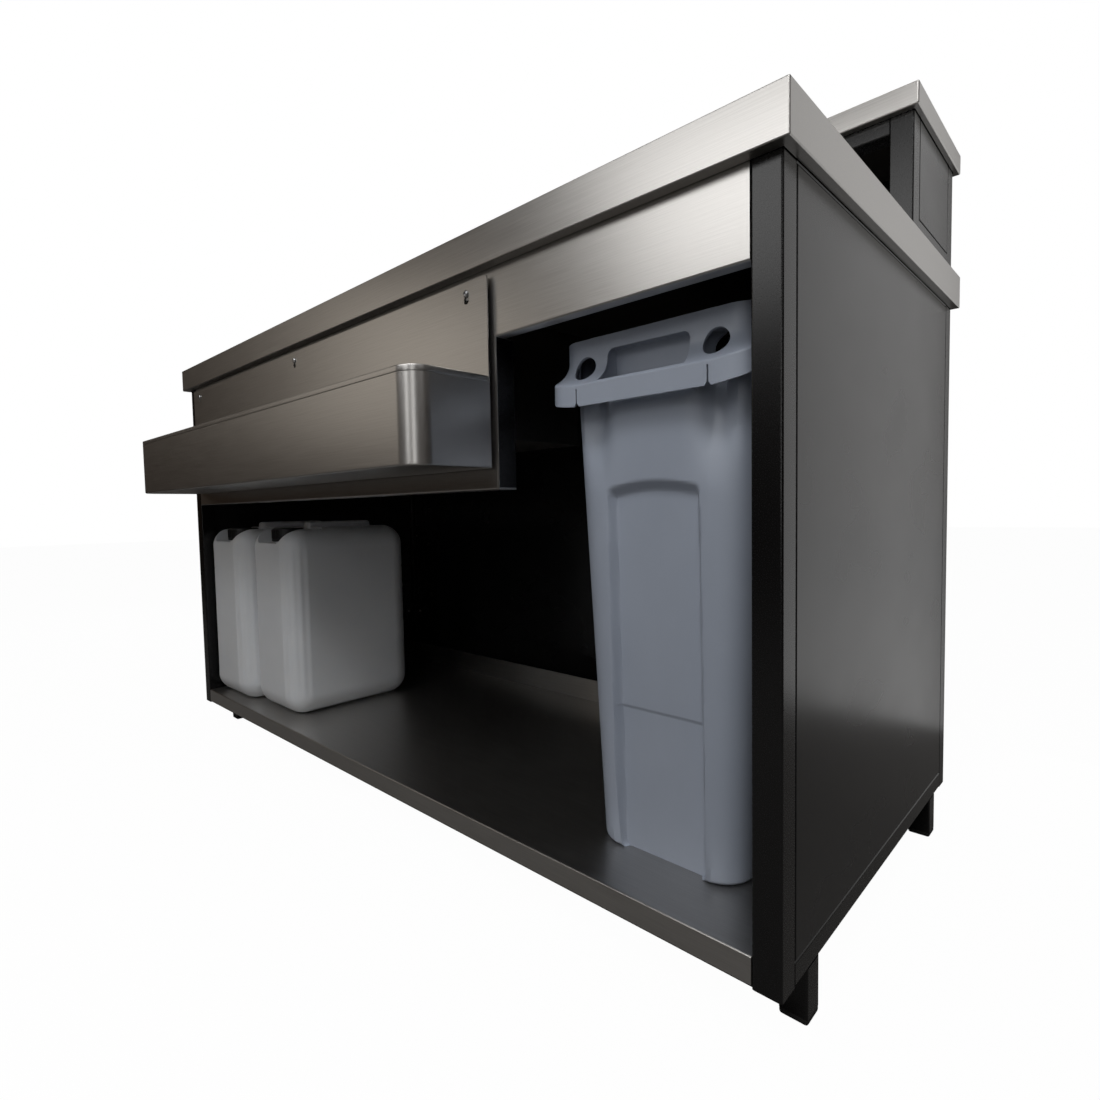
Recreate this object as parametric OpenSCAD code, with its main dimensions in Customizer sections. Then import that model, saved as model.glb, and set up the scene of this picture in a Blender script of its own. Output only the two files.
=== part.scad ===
// Portable bar counter. Bartender's side is the front (-Y), guests' side is the rear (+Y).
// Origin: on the floor, at the middle of the whole outline. Millimetres.

/* [Worktop] */
// Overall length of the worktop
top_w = 1500; // [1380:10:1800]
// Overall depth of the worktop
top_d = 650; // [620:5:760]
// Height of the working surface above the floor
top_z = 870; // [850:5:950]
// Height of the folded worktop edge
top_edge = 48; // [40:1:60]
// Overhang of the worktop in front of the posts
top_front = 15; // [12:1:25]
// Overhang of the worktop past each side
top_side = 12; // [8:1:20]
// Overhang of the worktop behind the posts
top_rear = 2; // [2:0.5:8]
// Thickness of the boards glued under the worktop and the bar top
top_board = 18; // [12:1:22]

/* [Frame] */
// Side of the square frame tube
tube = 30; // [25:1:35]
// Wall of the frame tube
tube_wall = 2; // [1.5:0.5:3]
// Height of the stub legs
leg_h = 60; // [45:5:90]
// Distance of each stub leg from the front or rear face
leg_inset = 60; // [40:5:100]
// Height of the bottom side rails
side_rail_h = 24; // [20:1:30]
// Height of the rubber foot below its tube
foot_h = 7; // [5:1:12]

/* [Panels] */
// Thickness of the black side and back boards
panel_t = 18; // [15:1:22]
// Shadow gap round each board
seam = 1.2; // [0.8:0.1:2]
// Height of each panel cleat
cleat_h = 40; // [25:5:60]
// Leg of each panel cleat along the board
cleat_leg = 26; // [20:1:34]
// Radius of the panel screws' shanks
screw_r = 2; // [1.5:0.25:2.5]
// How far the panel screws bite into a board
screw_bite = 10; // [8:1:12]

/* [Sheet metal] */
// Thickness of the stainless sheet
sheet = 1.5; // [1:0.25:2]
// Clearance where a folded sheet fits between tubes
fit = 0.5; // [0.3:0.1:1]
// Air between a loose piece and what carries it
loose = 0.3; // [0.2:0.1:0.5]

/* [Bottom shelf] */
// Height of the shelf's folded front edge
shelf_fold = 28; // [20:1:30]
// Depth of the shelf from the post fronts to its upstand
shelf_d = 524; // [480:2:560]
// Height of the upstand above the shelf
upstand_h = 48; // [30:2:80]

/* [Fascia] */
// Width of the fascia's deep part over the bottle rail's bay
deep_w = 1075; // [1066:1:1090]
// Height that the deep part shows below the worktop edge
deep_h = 277; // [260:1:300]
// Height that the short part shows above the bin
short_h = 86; // [70:1:88]
// Return at the short part's bottom edge
fascia_lip = 16; // [10:1:20]
// Height of the fascia that hides behind the worktop edge
fascia_hide = 20; // [14:1:26]
// Radius of the fascia screws' shanks
fascia_screw_r = 2.5; // [2:0.25:3]
// Distance of the outer fascia screws from the ends
fascia_screw_in = 40; // [25:5:60]
// Distance of the fascia screws below the fascia's top
fascia_screw_down = 7; // [6:0.5:9]

/* [Bottle rail] */
// Length of the bottle rail
rail_w = 1060; // [1040:1:1064]
// Distance of the bottle rail's end from the fascia's step
rail_end_gap = 5; // [3:0.5:12]
// Reach of the tray in front of its back plate
rail_reach = 118; // [90:1:140]
// Height of the tray's front
rail_h = 116; // [90:1:130]
// Height of the back plate, from the tray's floor
rail_plate_h = 241; // [220:1:244]
// Gap between the back plate's top and the worktop edge
rail_top_gap = 9.5; // [9:0.5:14]
// Corner radius of the tray
rail_r = 30; // [15:1:45]
// Corner radius of the back plate
rail_plate_r = 4; // [2:0.5:8]
// Height of the hem round the tray's top
rail_hem = 8; // [5:1:14]
// Distance between the fascia and the back plate
rail_standoff = 6; // [4:0.5:9]
// Distance of the outer keyholes from the back plate's ends
key_in = 40; // [30:1:60]
// Distance of the studs below the back plate's top
key_down = 15; // [12:0.5:20]
// Drop of the plate onto its studs
key_drop = 8; // [7.5:0.5:9]
// Radius of a stud's neck
stud_r = 3; // [2.5:0.25:3.25]
// Radius of a stud's head
stud_head_r = 4.5; // [4:0.25:5.5]
// Radius of a stud's collar
collar_r = 8; // [7:0.5:12]
// Clearance of the studs in the keyholes
key_clear = 0.5; // [0.3:0.1:0.8]
// Radius of the rubber buffers behind the bottle rail
buffer_r = 9; // [6:0.5:12]
// Distance of the buffers from the back plate's ends
buffer_in = 60; // [20:1:100]
// Height of the buffers above the tray's floor
buffer_up = 29; // [15:1:60]

/* [Ice well] */
// Inner length of the ice well
well_w = 600; // [400:10:700]
// Inner depth of the ice well, front to back
well_d = 300; // [240:5:300]
// Distance from the post fronts to the well's inner front
well_front = 70; // [62:1:76]
// Inner height of the ice well below the worktop
well_h = 200; // [140:5:210]
// Thickness of the insulation
well_foam = 25; // [15:1:28]
// Gap between the lid's skirt and the well
lid_play = 2; // [1:0.5:3]
// Width of the well's rim on the worktop
well_rim = 15; // [10:1:20]
// Height of the false bottom over the well's floor
false_h = 30; // [20:1:45]
// Radius of the drain holes in the false bottom
drip_r = 4; // [2.5:0.5:5]
// Spacing of the drain holes
drip_pitch = 45; // [30:1:60]
// Gap between the false bottom and the well's walls
false_play = 3; // [2:0.5:5]
// Depth of the lid's inner skirt
lid_skirt = 10; // [6:1:16]
// Length of the lid's handle
handle_w = 120; // [90:5:160]
// Height of the lid's handle
handle_h = 26; // [24:1:34]
// Radius of the lid handle's rod
handle_r = 4; // [3:0.5:5]

/* [Drain valve] */
// Outer radius of the drain pipe
drain_r = 15; // [12:1:17]
// Inner radius of the drain pipe
drain_bore_r = 12; // [9:1:12]
// Outer radius of the valve body
valve_r = 24; // [24:1:28]
// Height of the valve body
valve_h = 60; // [50:1:70]
// Radius of the ball
ball_r = 18; // [17:0.5:20]
// Radius of the valve stem
stem_r = 4; // [3:0.5:5]
// Length of the lever
lever_l = 66; // [50:1:70]
// Thickness of the lever
lever_t = 3; // [2:0.5:4]
// Gap between the ice well's jacket and the valve
valve_gap = 12; // [8:1:16]
// Depth of the pipe in the valve
pipe_in_valve = 8; // [6:1:10]
// Length of the valve's hose spigot
spigot_l = 14; // [10:1:20]
// Clearance of the ball, its stem and the pipe in their holes
valve_clear = 0.3; // [0.2:0.1:0.5]

/* [Riser] */
// Height of the whole counter
total_h = 1060; // [1030:5:1160]
// Distance from the lower post fronts to the riser's post fronts
riser_front = 409; // [405:1:430]
// Depth of the raised bar top
bar_d = 250; // [240:2:300]
// Height of the bar top's folded edge
bar_edge = 29; // [26:1:40]
// Overhang of the bar top in front of the riser
bar_front = 12; // [8:1:20]
// Overhang of the bar top past each side
bar_side = 8; // [6:1:12]

/* [Waste bin] */
// Width of the bin at its rim
bin_w = 279; // [260:1:290]
// Length of the bin at its rim
bin_l = 558; // [520:2:560]
// Height of the bin
bin_h = 632; // [580:2:636]
// Width of the bin's foot
bin_foot_w = 200; // [170:2:220]
// Length of the bin's foot, which stands in front of the shelf's upstand
bin_foot_l = 440; // [380:2:444]
// Wall of the bin
bin_wall = 3; // [2.5:0.5:4]
// Middle of the bin from the right-hand post's inner face
bin_from_right = 153; // [150:1:160]
// Setback of the bin's grip behind the post fronts
bin_setback = 39; // [30:1:50]
// Height of the bin's grip edge
grip_h = 26; // [18:1:32]
// Setback of the bin's foot behind its grip
bin_foot_back = 36; // [32:1:56]
// Height that the sloping deck climbs
deck_h = 57; // [45:1:65]
// Reach of the deck in front of the body
deck_reach = 21; // [18:1:40]
// Radius of the deck's round holes
deck_hole_r = 16; // [12:1:18]
// Distance of the deck's holes and slits from the middle
deck_hole_x = 88.5; // [84:0.5:96]
// Height of the deck's round holes above the grip
deck_hole_up = 20.5; // [18:0.5:26]
// Width of the hand hole in the deck
hand_w = 116; // [90:1:130]
// Width of the recessed panel on the bin's front
bin_panel_w = 128; // [100:1:140]
// Height of the recessed panel
bin_panel_h = 460; // [380:2:480]
// Depth of the recessed panel
bin_panel_deep = 10; // [4:0.5:12]
// Corner radius of the recessed panel
bin_panel_r = 18; // [10:1:24]

/* [Canisters] */
// Width of a canister
can_w = 198; // [180:1:200]
// Depth of a canister
can_d = 290; // [250:1:310]
// Height of a canister's shoulder
can_h = 398; // [340:1:420]
// Edge radius of a canister
can_r = 36; // [25:1:42]
// Height of the grip above the shoulder
can_grip_up = 12; // [6:1:16]
// Width of the grip
can_grip_w = 30; // [22:1:36]
// Length of the finger space under the grip
can_gap_l = 130; // [110:1:150]
// Width of the finger space under the grip
can_gap_w = 100; // [80:1:110]
// Depth of the finger space below the shoulder
can_gap_deep = 46; // [36:1:60]
// Distance that the grip lies behind the canister's middle
can_gap_back = 20; // [15:1:25]
// Depth of the recess for the cap
can_recess = 32; // [26:1:40]
// Outer radius of the cap
cap_r = 34; // [30:1:36]
// Height of the cap
cap_h = 28; // [20:1:30]
// Wall of the cap
cap_wall = 3; // [2:0.5:4]
// Clearance of the cap on its neck
cap_clear = 0.5; // [0.3:0.1:1]
// Distance from the canister's front to its neck
neck_y = 48; // [44:1:52]
// Gap between the left-hand canister and the left-hand posts
can_left_gap = 1; // [0.5:0.5:6]
// Setback of the left-hand canister
can_left_y = 10; // [4:1:40]
// Space between the two canisters
can_space = 2; // [1:1:20]
// Setback of the right-hand canister
can_right_y = 28; // [4:1:60]

/* [Hidden] */

$fn = 48;
eps = 1;

// Frame
half_w = top_w / 2 - top_side;
body_d = top_d - top_front - top_rear;
bar_rear = riser_front - bar_front + bar_d - body_d;
rail_out = rail_standoff + sheet + rail_reach;
reach_rear = max(bar_rear, top_rear);
fy = (rail_out - body_d - reach_rear) / 2;
ry = fy + body_d;
post_x = half_w - tube;
inner_x = half_w - panel_t;
deck_z = top_z - sheet - top_board;
edge_z = top_z - top_edge;
post_z = leg_h;
long_rail_z = leg_h + tube;
shelf_z = long_rail_z + sheet;
shelf_y = fy + shelf_d;

// Fascia
fascia_top = edge_z + fascia_hide;
fascia_return = tube + sheet;
deep_x = -post_x + fit;
deep_end = deep_x + deep_w;
deep_z = edge_z - deep_h;
short_end = post_x - fit;
short_z = edge_z - short_h;
deep_screws = 4;
screw_pitch = (deep_w - 2 * fascia_screw_in) / (deep_screws - 1);
fascia_screw_z = fascia_top - fascia_screw_down;
fascia_screw_x = concat([for (i = [0:deep_screws - 1]) deep_x + fascia_screw_in + i * screw_pitch],
    [deep_end + fascia_screw_in, short_end - fascia_screw_in]);
screw_clear = 0.2;

// Bottle rail
rail_x = deep_end - rail_end_gap - rail_w / 2;
rail_back_y = fy - rail_standoff;
rail_plate_y = rail_back_y - sheet;
rail_front_y = rail_plate_y - rail_reach;
rail_top_z = edge_z - rail_top_gap;
rail_z = rail_top_z - rail_plate_h;
stud_z = rail_top_z - key_down;
stud_x = [for (i = [-1:1]) rail_x + i * (rail_w / 2 - key_in)];
stud_head_t = 2.5;
nut_r = 2 * stud_r;
nut_h = 5;
buffer_z = rail_z + buffer_up;

// Ice well
well_x = rail_x;
well_y = fy + well_front + well_d / 2;
well_floor_z = top_z - well_h;
well_body_z = well_floor_z - sheet;
jacket_z = well_body_z - well_foam - sheet;
jacket_w = well_w + 2 * (2 * sheet + well_foam);
jacket_d = well_d + 2 * (2 * sheet + well_foam);
lid_z = top_z + sheet + loose;
lid_w = well_w + 2 * well_rim;
lid_d = well_d + 2 * well_rim;
pin_r = handle_r * 0.6;
valve_z = jacket_z - valve_gap - valve_h / 2;
pipe_z = valve_z + valve_h / 2 - pipe_in_valve;
stem_wall = 4;
lever_y = well_y - valve_r - stem_wall - 10;
lever_h = 2 * (stem_r + stem_wall);

// Fastenings
cleat_t = 2;
cleat_low = 130;
cleat_high = 150;
top_bolt_r = 3;
bolt_head_r = 6;
bolt_head_h = 4;
bolt_clear = 0.3;
top_bolt_in = 80;
top_bolt_x = [for (i = [-1.5:1:1.5]) i * (2 * (post_x - top_bolt_in)) / 3];
riser_bolt_r = 4;
riser_bolt_in = 30;
bolt_bite = 12;

// Riser
bar_z = total_h - bar_edge;
riser_top = total_h - sheet - top_board;
riser_y = fy + riser_front;
riser_rail_z = top_z + tube;
riser_bolt_y = [riser_y + tube + riser_bolt_in, ry - tube - riser_bolt_in];
riser_bolt_way = riser_rail_z - deck_z + eps;

// Waste bin
bin_x = post_x - bin_from_right;
bin_y = fy + bin_setback;
bin_z = shelf_z + loose;
bin_skirt_z = bin_h - deck_h - grip_h;
bin_rim = 8;
bin_top_w = bin_w - 2 * bin_rim;
bin_corner = 40;
bin_panel_wall = 4;
bin_lean = atan((bin_foot_back - deck_reach) / bin_h);
rim_r = 30;
deck_steps = 5;
cove_start = 30;
cove_h = 32;
side_rise = 50;
side_rise_end = 130;
grip_space = 13;
grip_start = 12;
hand_deep = deck_reach + 2;
hand_h = 40;
hand_taper = 5;
hand_r = 9;
slit_w = 2;
slit_h = 21;

// Canisters
can_z = shelf_z + loose;
left_can = [-post_x + can_left_gap + can_w / 2, fy + can_left_y, can_z];
right_can = [left_can[0] + can_w + can_space, fy + can_right_y, can_z];
recess_z = can_h - can_recess;
recess_low_w = can_w / 2;
recess_in = 15;
recess_behind = 10;
cap_top = can_h - 1;
cap_z = cap_top - cap_h;
neck_r = cap_r - cap_wall - cap_clear;
neck_h = cap_top - cap_wall - cap_clear - recess_z;
gap_y = can_d / 2 - can_gap_l / 2 + can_gap_back;
gap_z = can_h - can_gap_deep;
grip_t = 26;
grip_end = 12;

// Colours
stainless = "#b9b9b8";
black = "#1d1d1f";
grey = "#6b7078";
milk = "#c9ccd0";

// A square or flat tube along one axis, open at both ends
module hollow(at, size, along) {
    bore_at = [for (i = [0:2]) at[i] + (i == along ? -eps : tube_wall)];
    bore = [for (i = [0:2]) size[i] + (i == along ? 2 * eps : -2 * tube_wall)];
    difference() {
        translate(at) cube(size);
        translate(bore_at) cube(bore);
    }
}

module block(at, size) {
    translate(at) cube(size);
}

// An upright cylinder, and ones along X and Y
module rod(at, r, h) {
    translate(at) cylinder(r = r, h = h);
}

module rod_x(at, r, l) {
    translate(at) rotate([0, 90, 0]) cylinder(r = r, h = l);
}

module rod_y(at, r, l) {
    translate(at) rotate([-90, 0, 0]) cylinder(r = r, h = l);
}

// Rectangle centred on X, from y = 0 back, with its front corners rounded
module front_round(w, d, r) {
    translate([-w / 2 + r, 0]) square([w - 2 * r, d]);
    translate([-w / 2, r]) square([w, d - r]);
    for (x = [-w / 2 + r, w / 2 - r])
        translate([x, r]) circle(r = r);
}

// Rectangle centred on X with four round corners, from y = 0 back
module all_round(w, d, r) {
    translate([-w / 2 + r, 0]) square([w - 2 * r, d]);
    translate([-w / 2, r]) square([w, d - 2 * r]);
    for (x = [-w / 2 + r, w / 2 - r], y = [r, d - r])
        translate([x, y]) circle(r = r);
}

// A folded sheet top: skin, four edges and inward lips along the bottom
module folded_top(w, d, h, lip_x, lip_front, lip_rear) {
    difference() {
        translate([-w / 2, 0, 0]) cube([w, d, h]);
        translate([-w / 2 + sheet, sheet, sheet])
            cube([w - 2 * sheet, d - 2 * sheet, h - 2 * sheet]);
        translate([-w / 2 + lip_x, lip_front, -eps])
            cube([w - 2 * lip_x, d - lip_front - lip_rear, sheet + 2 * eps]);
    }
}

// Posts and legs
module post(side, y) {
    color(black) hollow([side < 0 ? -half_w : post_x, y, post_z],
        [tube, tube, deck_z - post_z], 2);
}

module front_left_post() post(-1, fy);
module front_right_post() post(1, fy);
module rear_left_post() post(-1, ry - tube);
module rear_right_post() post(1, ry - tube);

leg_x = [-half_w, post_x];
leg_y = [fy + leg_inset, ry - leg_inset - tube];

module leg(x, y) {
    color(black) hollow([x, y, foot_h], [tube, tube, leg_h - foot_h], 2);
}

module front_left_leg() leg(leg_x[0], leg_y[0]);
module front_right_leg() leg(leg_x[1], leg_y[0]);
module rear_left_leg() leg(leg_x[0], leg_y[1]);
module rear_right_leg() leg(leg_x[1], leg_y[1]);

module foot_outline(r) {
    translate([r, 0]) square([tube - 2 * r, foot_h]);
    translate([0, r]) square([tube, foot_h - r]);
    for (x = [r, tube - r])
        translate([x, r]) circle(r = r);
}

module foot_cap() {
    plug = tube - 2 * tube_wall - 2 * fit;
    r = foot_h / 2;
    intersection() {
        translate([0, tube, 0]) rotate([90, 0, 0]) linear_extrude(tube) foot_outline(r);
        rotate([90, 0, 90]) linear_extrude(tube) foot_outline(r);
    }
    block([tube_wall + fit, tube_wall + fit, foot_h], [plug, plug, 18]);
}

module foot_caps() color("#141414") {
    for (x = leg_x, y = leg_y)
        translate([x, y, 0]) foot_cap();
}

// Bottom frame
module bottom_front_rail() color(black) {
    hollow([-post_x, fy + sheet, leg_h], [2 * post_x, tube, tube], 0);
}

module bottom_rear_rail() color(black) {
    hollow([-post_x, ry - tube, leg_h], [2 * post_x, tube, tube], 0);
}

module bottom_side_rail(x) color(black) {
    hollow([x, fy + tube, leg_h], [tube, body_d - 2 * tube, side_rail_h], 1);
}

module bottom_left_rail() bottom_side_rail(-half_w);
module bottom_right_rail() bottom_side_rail(post_x);

module shelf_bearers() color(black) {
    rear_y = shelf_y - sheet - tube;
    front_y = fy + sheet + tube;
    hollow([-post_x, rear_y, leg_h], [2 * post_x, tube, tube], 0);
    for (x = [-1, 0, 1] * (2 * post_x / 3))
        hollow([x - tube / 2, front_y, leg_h], [tube, rear_y - front_y, tube], 1);
}

// Top frame, drilled for the bolts that hold the worktop and the riser. The heads sit inside the
// tube, and the tube's lower wall has a wider hole to reach them.
module top_bolt_places(y) {
    for (x = top_bolt_x)
        translate([x, y, deck_z - tube]) children();
}

module top_long_rail(y) {
    difference() {
        hollow([-post_x, y, deck_z - tube], [2 * post_x, tube, tube], 0);
        top_bolt_places(y + tube / 2) {
            rod([0, 0, -eps], bolt_head_r + 1, tube_wall + 2 * eps);
            rod([0, 0, tube - tube_wall - eps], top_bolt_r + bolt_clear, tube_wall + 2 * eps);
        }
    }
}

module top_front_rail() color(black) {
    difference() {
        top_long_rail(fy + sheet);
        for (x = fascia_screw_x)
            rod_y([x, fy + sheet - eps, fascia_screw_z], fascia_screw_r + screw_clear,
                tube_wall + 2 * eps);
    }
}

module top_rear_rail() color(black) top_long_rail(ry - tube);

module top_side_rail(x) color(black) {
    difference() {
        hollow([x, fy + tube, deck_z - tube], [tube, body_d - 2 * tube, tube], 1);
        for (y = riser_bolt_y)
            rod([x + tube / 2, y, deck_z - tube_wall - eps], riser_bolt_r + bolt_clear,
                tube_wall + 2 * eps);
    }
}

module top_left_rail() top_side_rail(-half_w);
module top_right_rail() top_side_rail(post_x);

// Tubes behind the fascia's deep part
module fascia_post() color(black) {
    hollow([deep_end - sheet - tube, fy + sheet, deep_z + sheet],
        [tube, tube, deck_z - tube - deep_z - sheet], 2);
}

module fascia_rail() color(black) {
    hollow([-post_x, fy + sheet, deep_z + sheet],
        [deep_end - sheet - tube + post_x, tube, tube], 0);
}

// Shelf: front fold, surface and rear upstand
module bottom_shelf() color(stainless) {
    x = -post_x + fit;
    w = 2 * (post_x - fit);
    block([x, fy, shelf_z - sheet], [w, shelf_d, sheet]);
    block([x, fy, shelf_z - shelf_fold], [w, sheet, shelf_fold]);
    block([x, shelf_y - sheet, shelf_z - sheet], [w, sheet, upstand_h + sheet]);
}

// Cleats that hold the boards; children are placed in the corner of post and board
cleat_z = [leg_h + cleat_low, edge_z - cleat_high];
riser_cleat_z = (riser_rail_z + bar_z) / 2 - cleat_h / 2;

module corner_cleats(z, front_y) {
    for (side = [0, 1])
        mirror([side, 0, 0]) {
            translate([-inner_x, front_y + tube, z]) children();
            translate([-inner_x, ry - tube, z]) mirror([0, 1, 0]) children();
            translate([-post_x, ry - panel_t, z]) rotate([0, 0, -90]) children();
        }
}

module every_cleat() {
    for (z = cleat_z)
        corner_cleats(z, fy) children();
    corner_cleats(riser_cleat_z, riser_y) children();
}

cleat_hole_y = cleat_leg * 0.6;

module cleat() {
    post_leg = tube - panel_t;
    difference() {
        union() {
            cube([post_leg, cleat_t, cleat_h]);
            cube([cleat_t, cleat_leg, cleat_h]);
        }
        rod_x([-eps, cleat_hole_y, cleat_h / 2], screw_r + bolt_clear, cleat_t + 2 * eps);
    }
}

module cleat_screw() {
    rod_x([-screw_bite, cleat_hole_y, cleat_h / 2], screw_r, screw_bite + cleat_t);
    rod_x([cleat_t, cleat_hole_y, cleat_h / 2], 2 * screw_r, screw_r);
}

module screw_hole() {
    rod_x([-screw_bite - 0.5, cleat_hole_y, cleat_h / 2], screw_r + 0.1, screw_bite + eps);
}

module panel_cleats() color(black) every_cleat() cleat();
module panel_screws() color("#8f9092") every_cleat() cleat_screw();

// Boards
module side_panel(x, z0, z1, front_y) color("#2b2b2d") {
    difference() {
        block([x, front_y + tube + seam, z0],
            [panel_t, ry - front_y - 2 * (tube + seam), z1 - z0]);
        every_cleat() screw_hole();
    }
}

module rear_panel(z0, z1) color("#2b2b2d") {
    difference() {
        block([-post_x + seam, ry - panel_t, z0], [2 * (post_x - seam), panel_t, z1 - z0]);
        every_cleat() screw_hole();
    }
}

side_z0 = leg_h + side_rail_h + seam;
side_z1 = deck_z - tube - seam;
module left_side_panel() side_panel(-half_w, side_z0, side_z1, fy);
module right_side_panel() side_panel(inner_x, side_z0, side_z1, fy);
module back_panel() rear_panel(leg_h + tube + seam, deck_z - tube - seam);

// Worktop, with the cut-out for the ice well
module worktop() color(stainless) {
    difference() {
        translate([0, fy - top_front, edge_z])
            folded_top(top_w, top_d, top_edge, top_side - 1, top_front - 1, sheet);
        block([well_x - well_w / 2 - sheet - fit, well_y - well_d / 2 - sheet - fit, deck_z],
            [well_w + 2 * (sheet + fit), well_d + 2 * (sheet + fit), top_edge]);
        riser_bolt_places() rod([0, 0, -riser_bolt_way], riser_bolt_r + bolt_clear, riser_bolt_way);
    }
}

module worktop_board() color("#8a6f52") {
    w = top_w - 2 * (sheet + fit);
    d = top_d - 2 * (sheet + fit);
    difference() {
        block([-w / 2, fy - top_front + sheet + fit, deck_z], [w, d, top_board]);
        block([well_x - well_w / 2 - sheet - fit, well_y - well_d / 2 - sheet - fit, deck_z - eps],
            [well_w + 2 * (sheet + fit), well_d + 2 * (sheet + fit), top_board + 2 * eps]);
        riser_bolt_places() rod([0, 0, -riser_bolt_way], riser_bolt_r + bolt_clear, riser_bolt_way);
        for (y = [fy + sheet + tube / 2, ry - tube / 2])
            top_bolt_places(y) rod([0, 0, tube - eps], top_bolt_r + 0.1, bolt_bite + 2 * eps);
    }
}

module top_bolts() color("#8f9092") {
    for (y = [fy + sheet + tube / 2, ry - tube / 2])
        top_bolt_places(y) {
            rod([0, 0, tube - tube_wall - bolt_head_h], bolt_head_r, bolt_head_h);
            rod([0, 0, tube - tube_wall], top_bolt_r, tube_wall + bolt_bite);
        }
}

// One stepped fascia hangs from the top rail behind the worktop edge. Its folds return backwards
// along the bottom of the deep part, up the step and along the bottom of the short part.
module fascia() color(stainless) {
    step_x = deep_end - sheet;
    short_l = short_end - step_x;
    difference() {
        union() {
            block([deep_x, fy, deep_z], [deep_w, sheet, fascia_top - deep_z]);
            block([deep_x, fy, deep_z], [deep_w, fascia_return, sheet]);
            block([step_x, fy, deep_z], [sheet, fascia_return, short_z + sheet - deep_z]);
            block([step_x, fy, short_z], [short_l, sheet, fascia_top - short_z]);
            block([step_x, fy, short_z], [short_l, fascia_lip, sheet]);
        }
        for (x = fascia_screw_x)
            rod_y([x, fy - eps, fascia_screw_z], fascia_screw_r + screw_clear, sheet + 2 * eps);
        for (x = stud_x)
            rod_y([x, fy - eps, stud_z], stud_r + screw_clear, sheet + 2 * eps);
    }
}

module fascia_screws() color("#8f9092") {
    head_t = 0.88 * fascia_screw_r;
    for (x = fascia_screw_x) {
        rod_y([x, fy - head_t, fascia_screw_z], 1.8 * fascia_screw_r, head_t);
        rod_y([x, fy, fascia_screw_z], fascia_screw_r, sheet + tube_wall + 1.6 * fascia_screw_r);
    }
}

// A box open at the top, by its inner size; its floor is below z
module open_box(w, d, z, h, t) {
    difference() {
        block([well_x - w / 2 - t, well_y - d / 2 - t, z - t], [w + 2 * t, d + 2 * t, h + t]);
        block([well_x - w / 2, well_y - d / 2, z], [w, d, h + eps]);
    }
}

// Ice well: liner with a rim that rests on the worktop, insulation and outer jacket
module well_liner() color(stainless) {
    difference() {
        union() {
            open_box(well_w, well_d, well_floor_z, top_z - well_floor_z, sheet);
            difference() {
                block([well_x - lid_w / 2, well_y - lid_d / 2, top_z], [lid_w, lid_d, sheet]);
                block([well_x - well_w / 2, well_y - well_d / 2, top_z - eps],
                    [well_w, well_d, sheet + 2 * eps]);
            }
        }
        rod([well_x, well_y, well_body_z - eps], drain_r + valve_clear, sheet + 2 * eps);
    }
}

module well_insulation() color("#d9c27a") {
    difference() {
        open_box(well_w + 2 * sheet, well_d + 2 * sheet, well_body_z,
            deck_z - well_body_z, well_foam);
        rod([well_x, well_y, well_body_z - well_foam - eps], drain_r + valve_clear,
            well_foam + 2 * eps);
    }
}

module well_jacket() color(stainless) {
    difference() {
        open_box(jacket_w - 2 * sheet, jacket_d - 2 * sheet, jacket_z + sheet,
            deck_z - jacket_z - sheet, sheet);
        rod([well_x, well_y, jacket_z - eps], drain_r + valve_clear, sheet + 2 * eps);
    }
}

// Perforated false bottom on folded side legs
module false_bottom() color(stainless) {
    w = well_w - 2 * false_play;
    d = well_d - 2 * false_play;
    drip_in = 20;
    nx = floor((w / 2 - drip_in) / drip_pitch);
    ny = floor((d / 2 - drip_in) / drip_pitch);
    difference() {
        block([well_x - w / 2, well_y - d / 2, well_floor_z], [w, d, false_h]);
        block([well_x - w / 2 + sheet, well_y - d / 2 - eps, well_floor_z - eps],
            [w - 2 * sheet, d + 2 * eps, false_h - sheet + eps]);
        for (i = [-nx:nx], j = [-ny:ny])
            rod([well_x + i * drip_pitch, well_y + j * drip_pitch, well_floor_z + false_h - 2 * sheet],
                drip_r, 3 * sheet);
    }
}

// Lift-off lid, with a skirt inside the well's mouth
module well_lid() color(stainless) {
    w = well_w - 2 * lid_play;
    d = well_d - 2 * lid_play;
    difference() {
        union() {
            block([well_x - lid_w / 2, well_y - lid_d / 2, lid_z], [lid_w, lid_d, sheet]);
            difference() {
                block([well_x - w / 2, well_y - d / 2, lid_z - lid_skirt], [w, d, lid_skirt]);
                block([well_x - w / 2 + sheet, well_y - d / 2 + sheet, lid_z - lid_skirt - eps],
                    [w - 2 * sheet, d - 2 * sheet, lid_skirt + eps]);
            }
        }
        for (x = [-1, 1] * (handle_w / 2))
            rod([well_x + x, well_y, lid_z - eps], pin_r + 0.1, sheet + 2 * eps);
    }
}

module lid_handle() color(stainless) {
    z = lid_z + sheet;
    for (x = [-1, 1] * (handle_w / 2)) {
        rod([well_x + x, well_y, z], handle_r, handle_h - handle_r);
        rod([well_x + x, well_y, z - sheet - 3], pin_r, sheet + 4);
        translate([well_x + x, well_y, z + handle_h - handle_r]) sphere(r = handle_r);
    }
    rod_x([well_x - handle_w / 2, well_y, z + handle_h - handle_r], handle_r, handle_w);
}

// Drain: pipe through the well's floor, ball valve below it
module drain_pipe() color(stainless) {
    difference() {
        union() {
            rod([well_x, well_y, pipe_z], drain_r, well_floor_z - pipe_z);
            rod([well_x, well_y, well_floor_z], drain_r + 8, 2);
        }
        rod([well_x, well_y, pipe_z - eps], drain_bore_r, well_floor_z - pipe_z + 2 + 2 * eps);
    }
}

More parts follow.
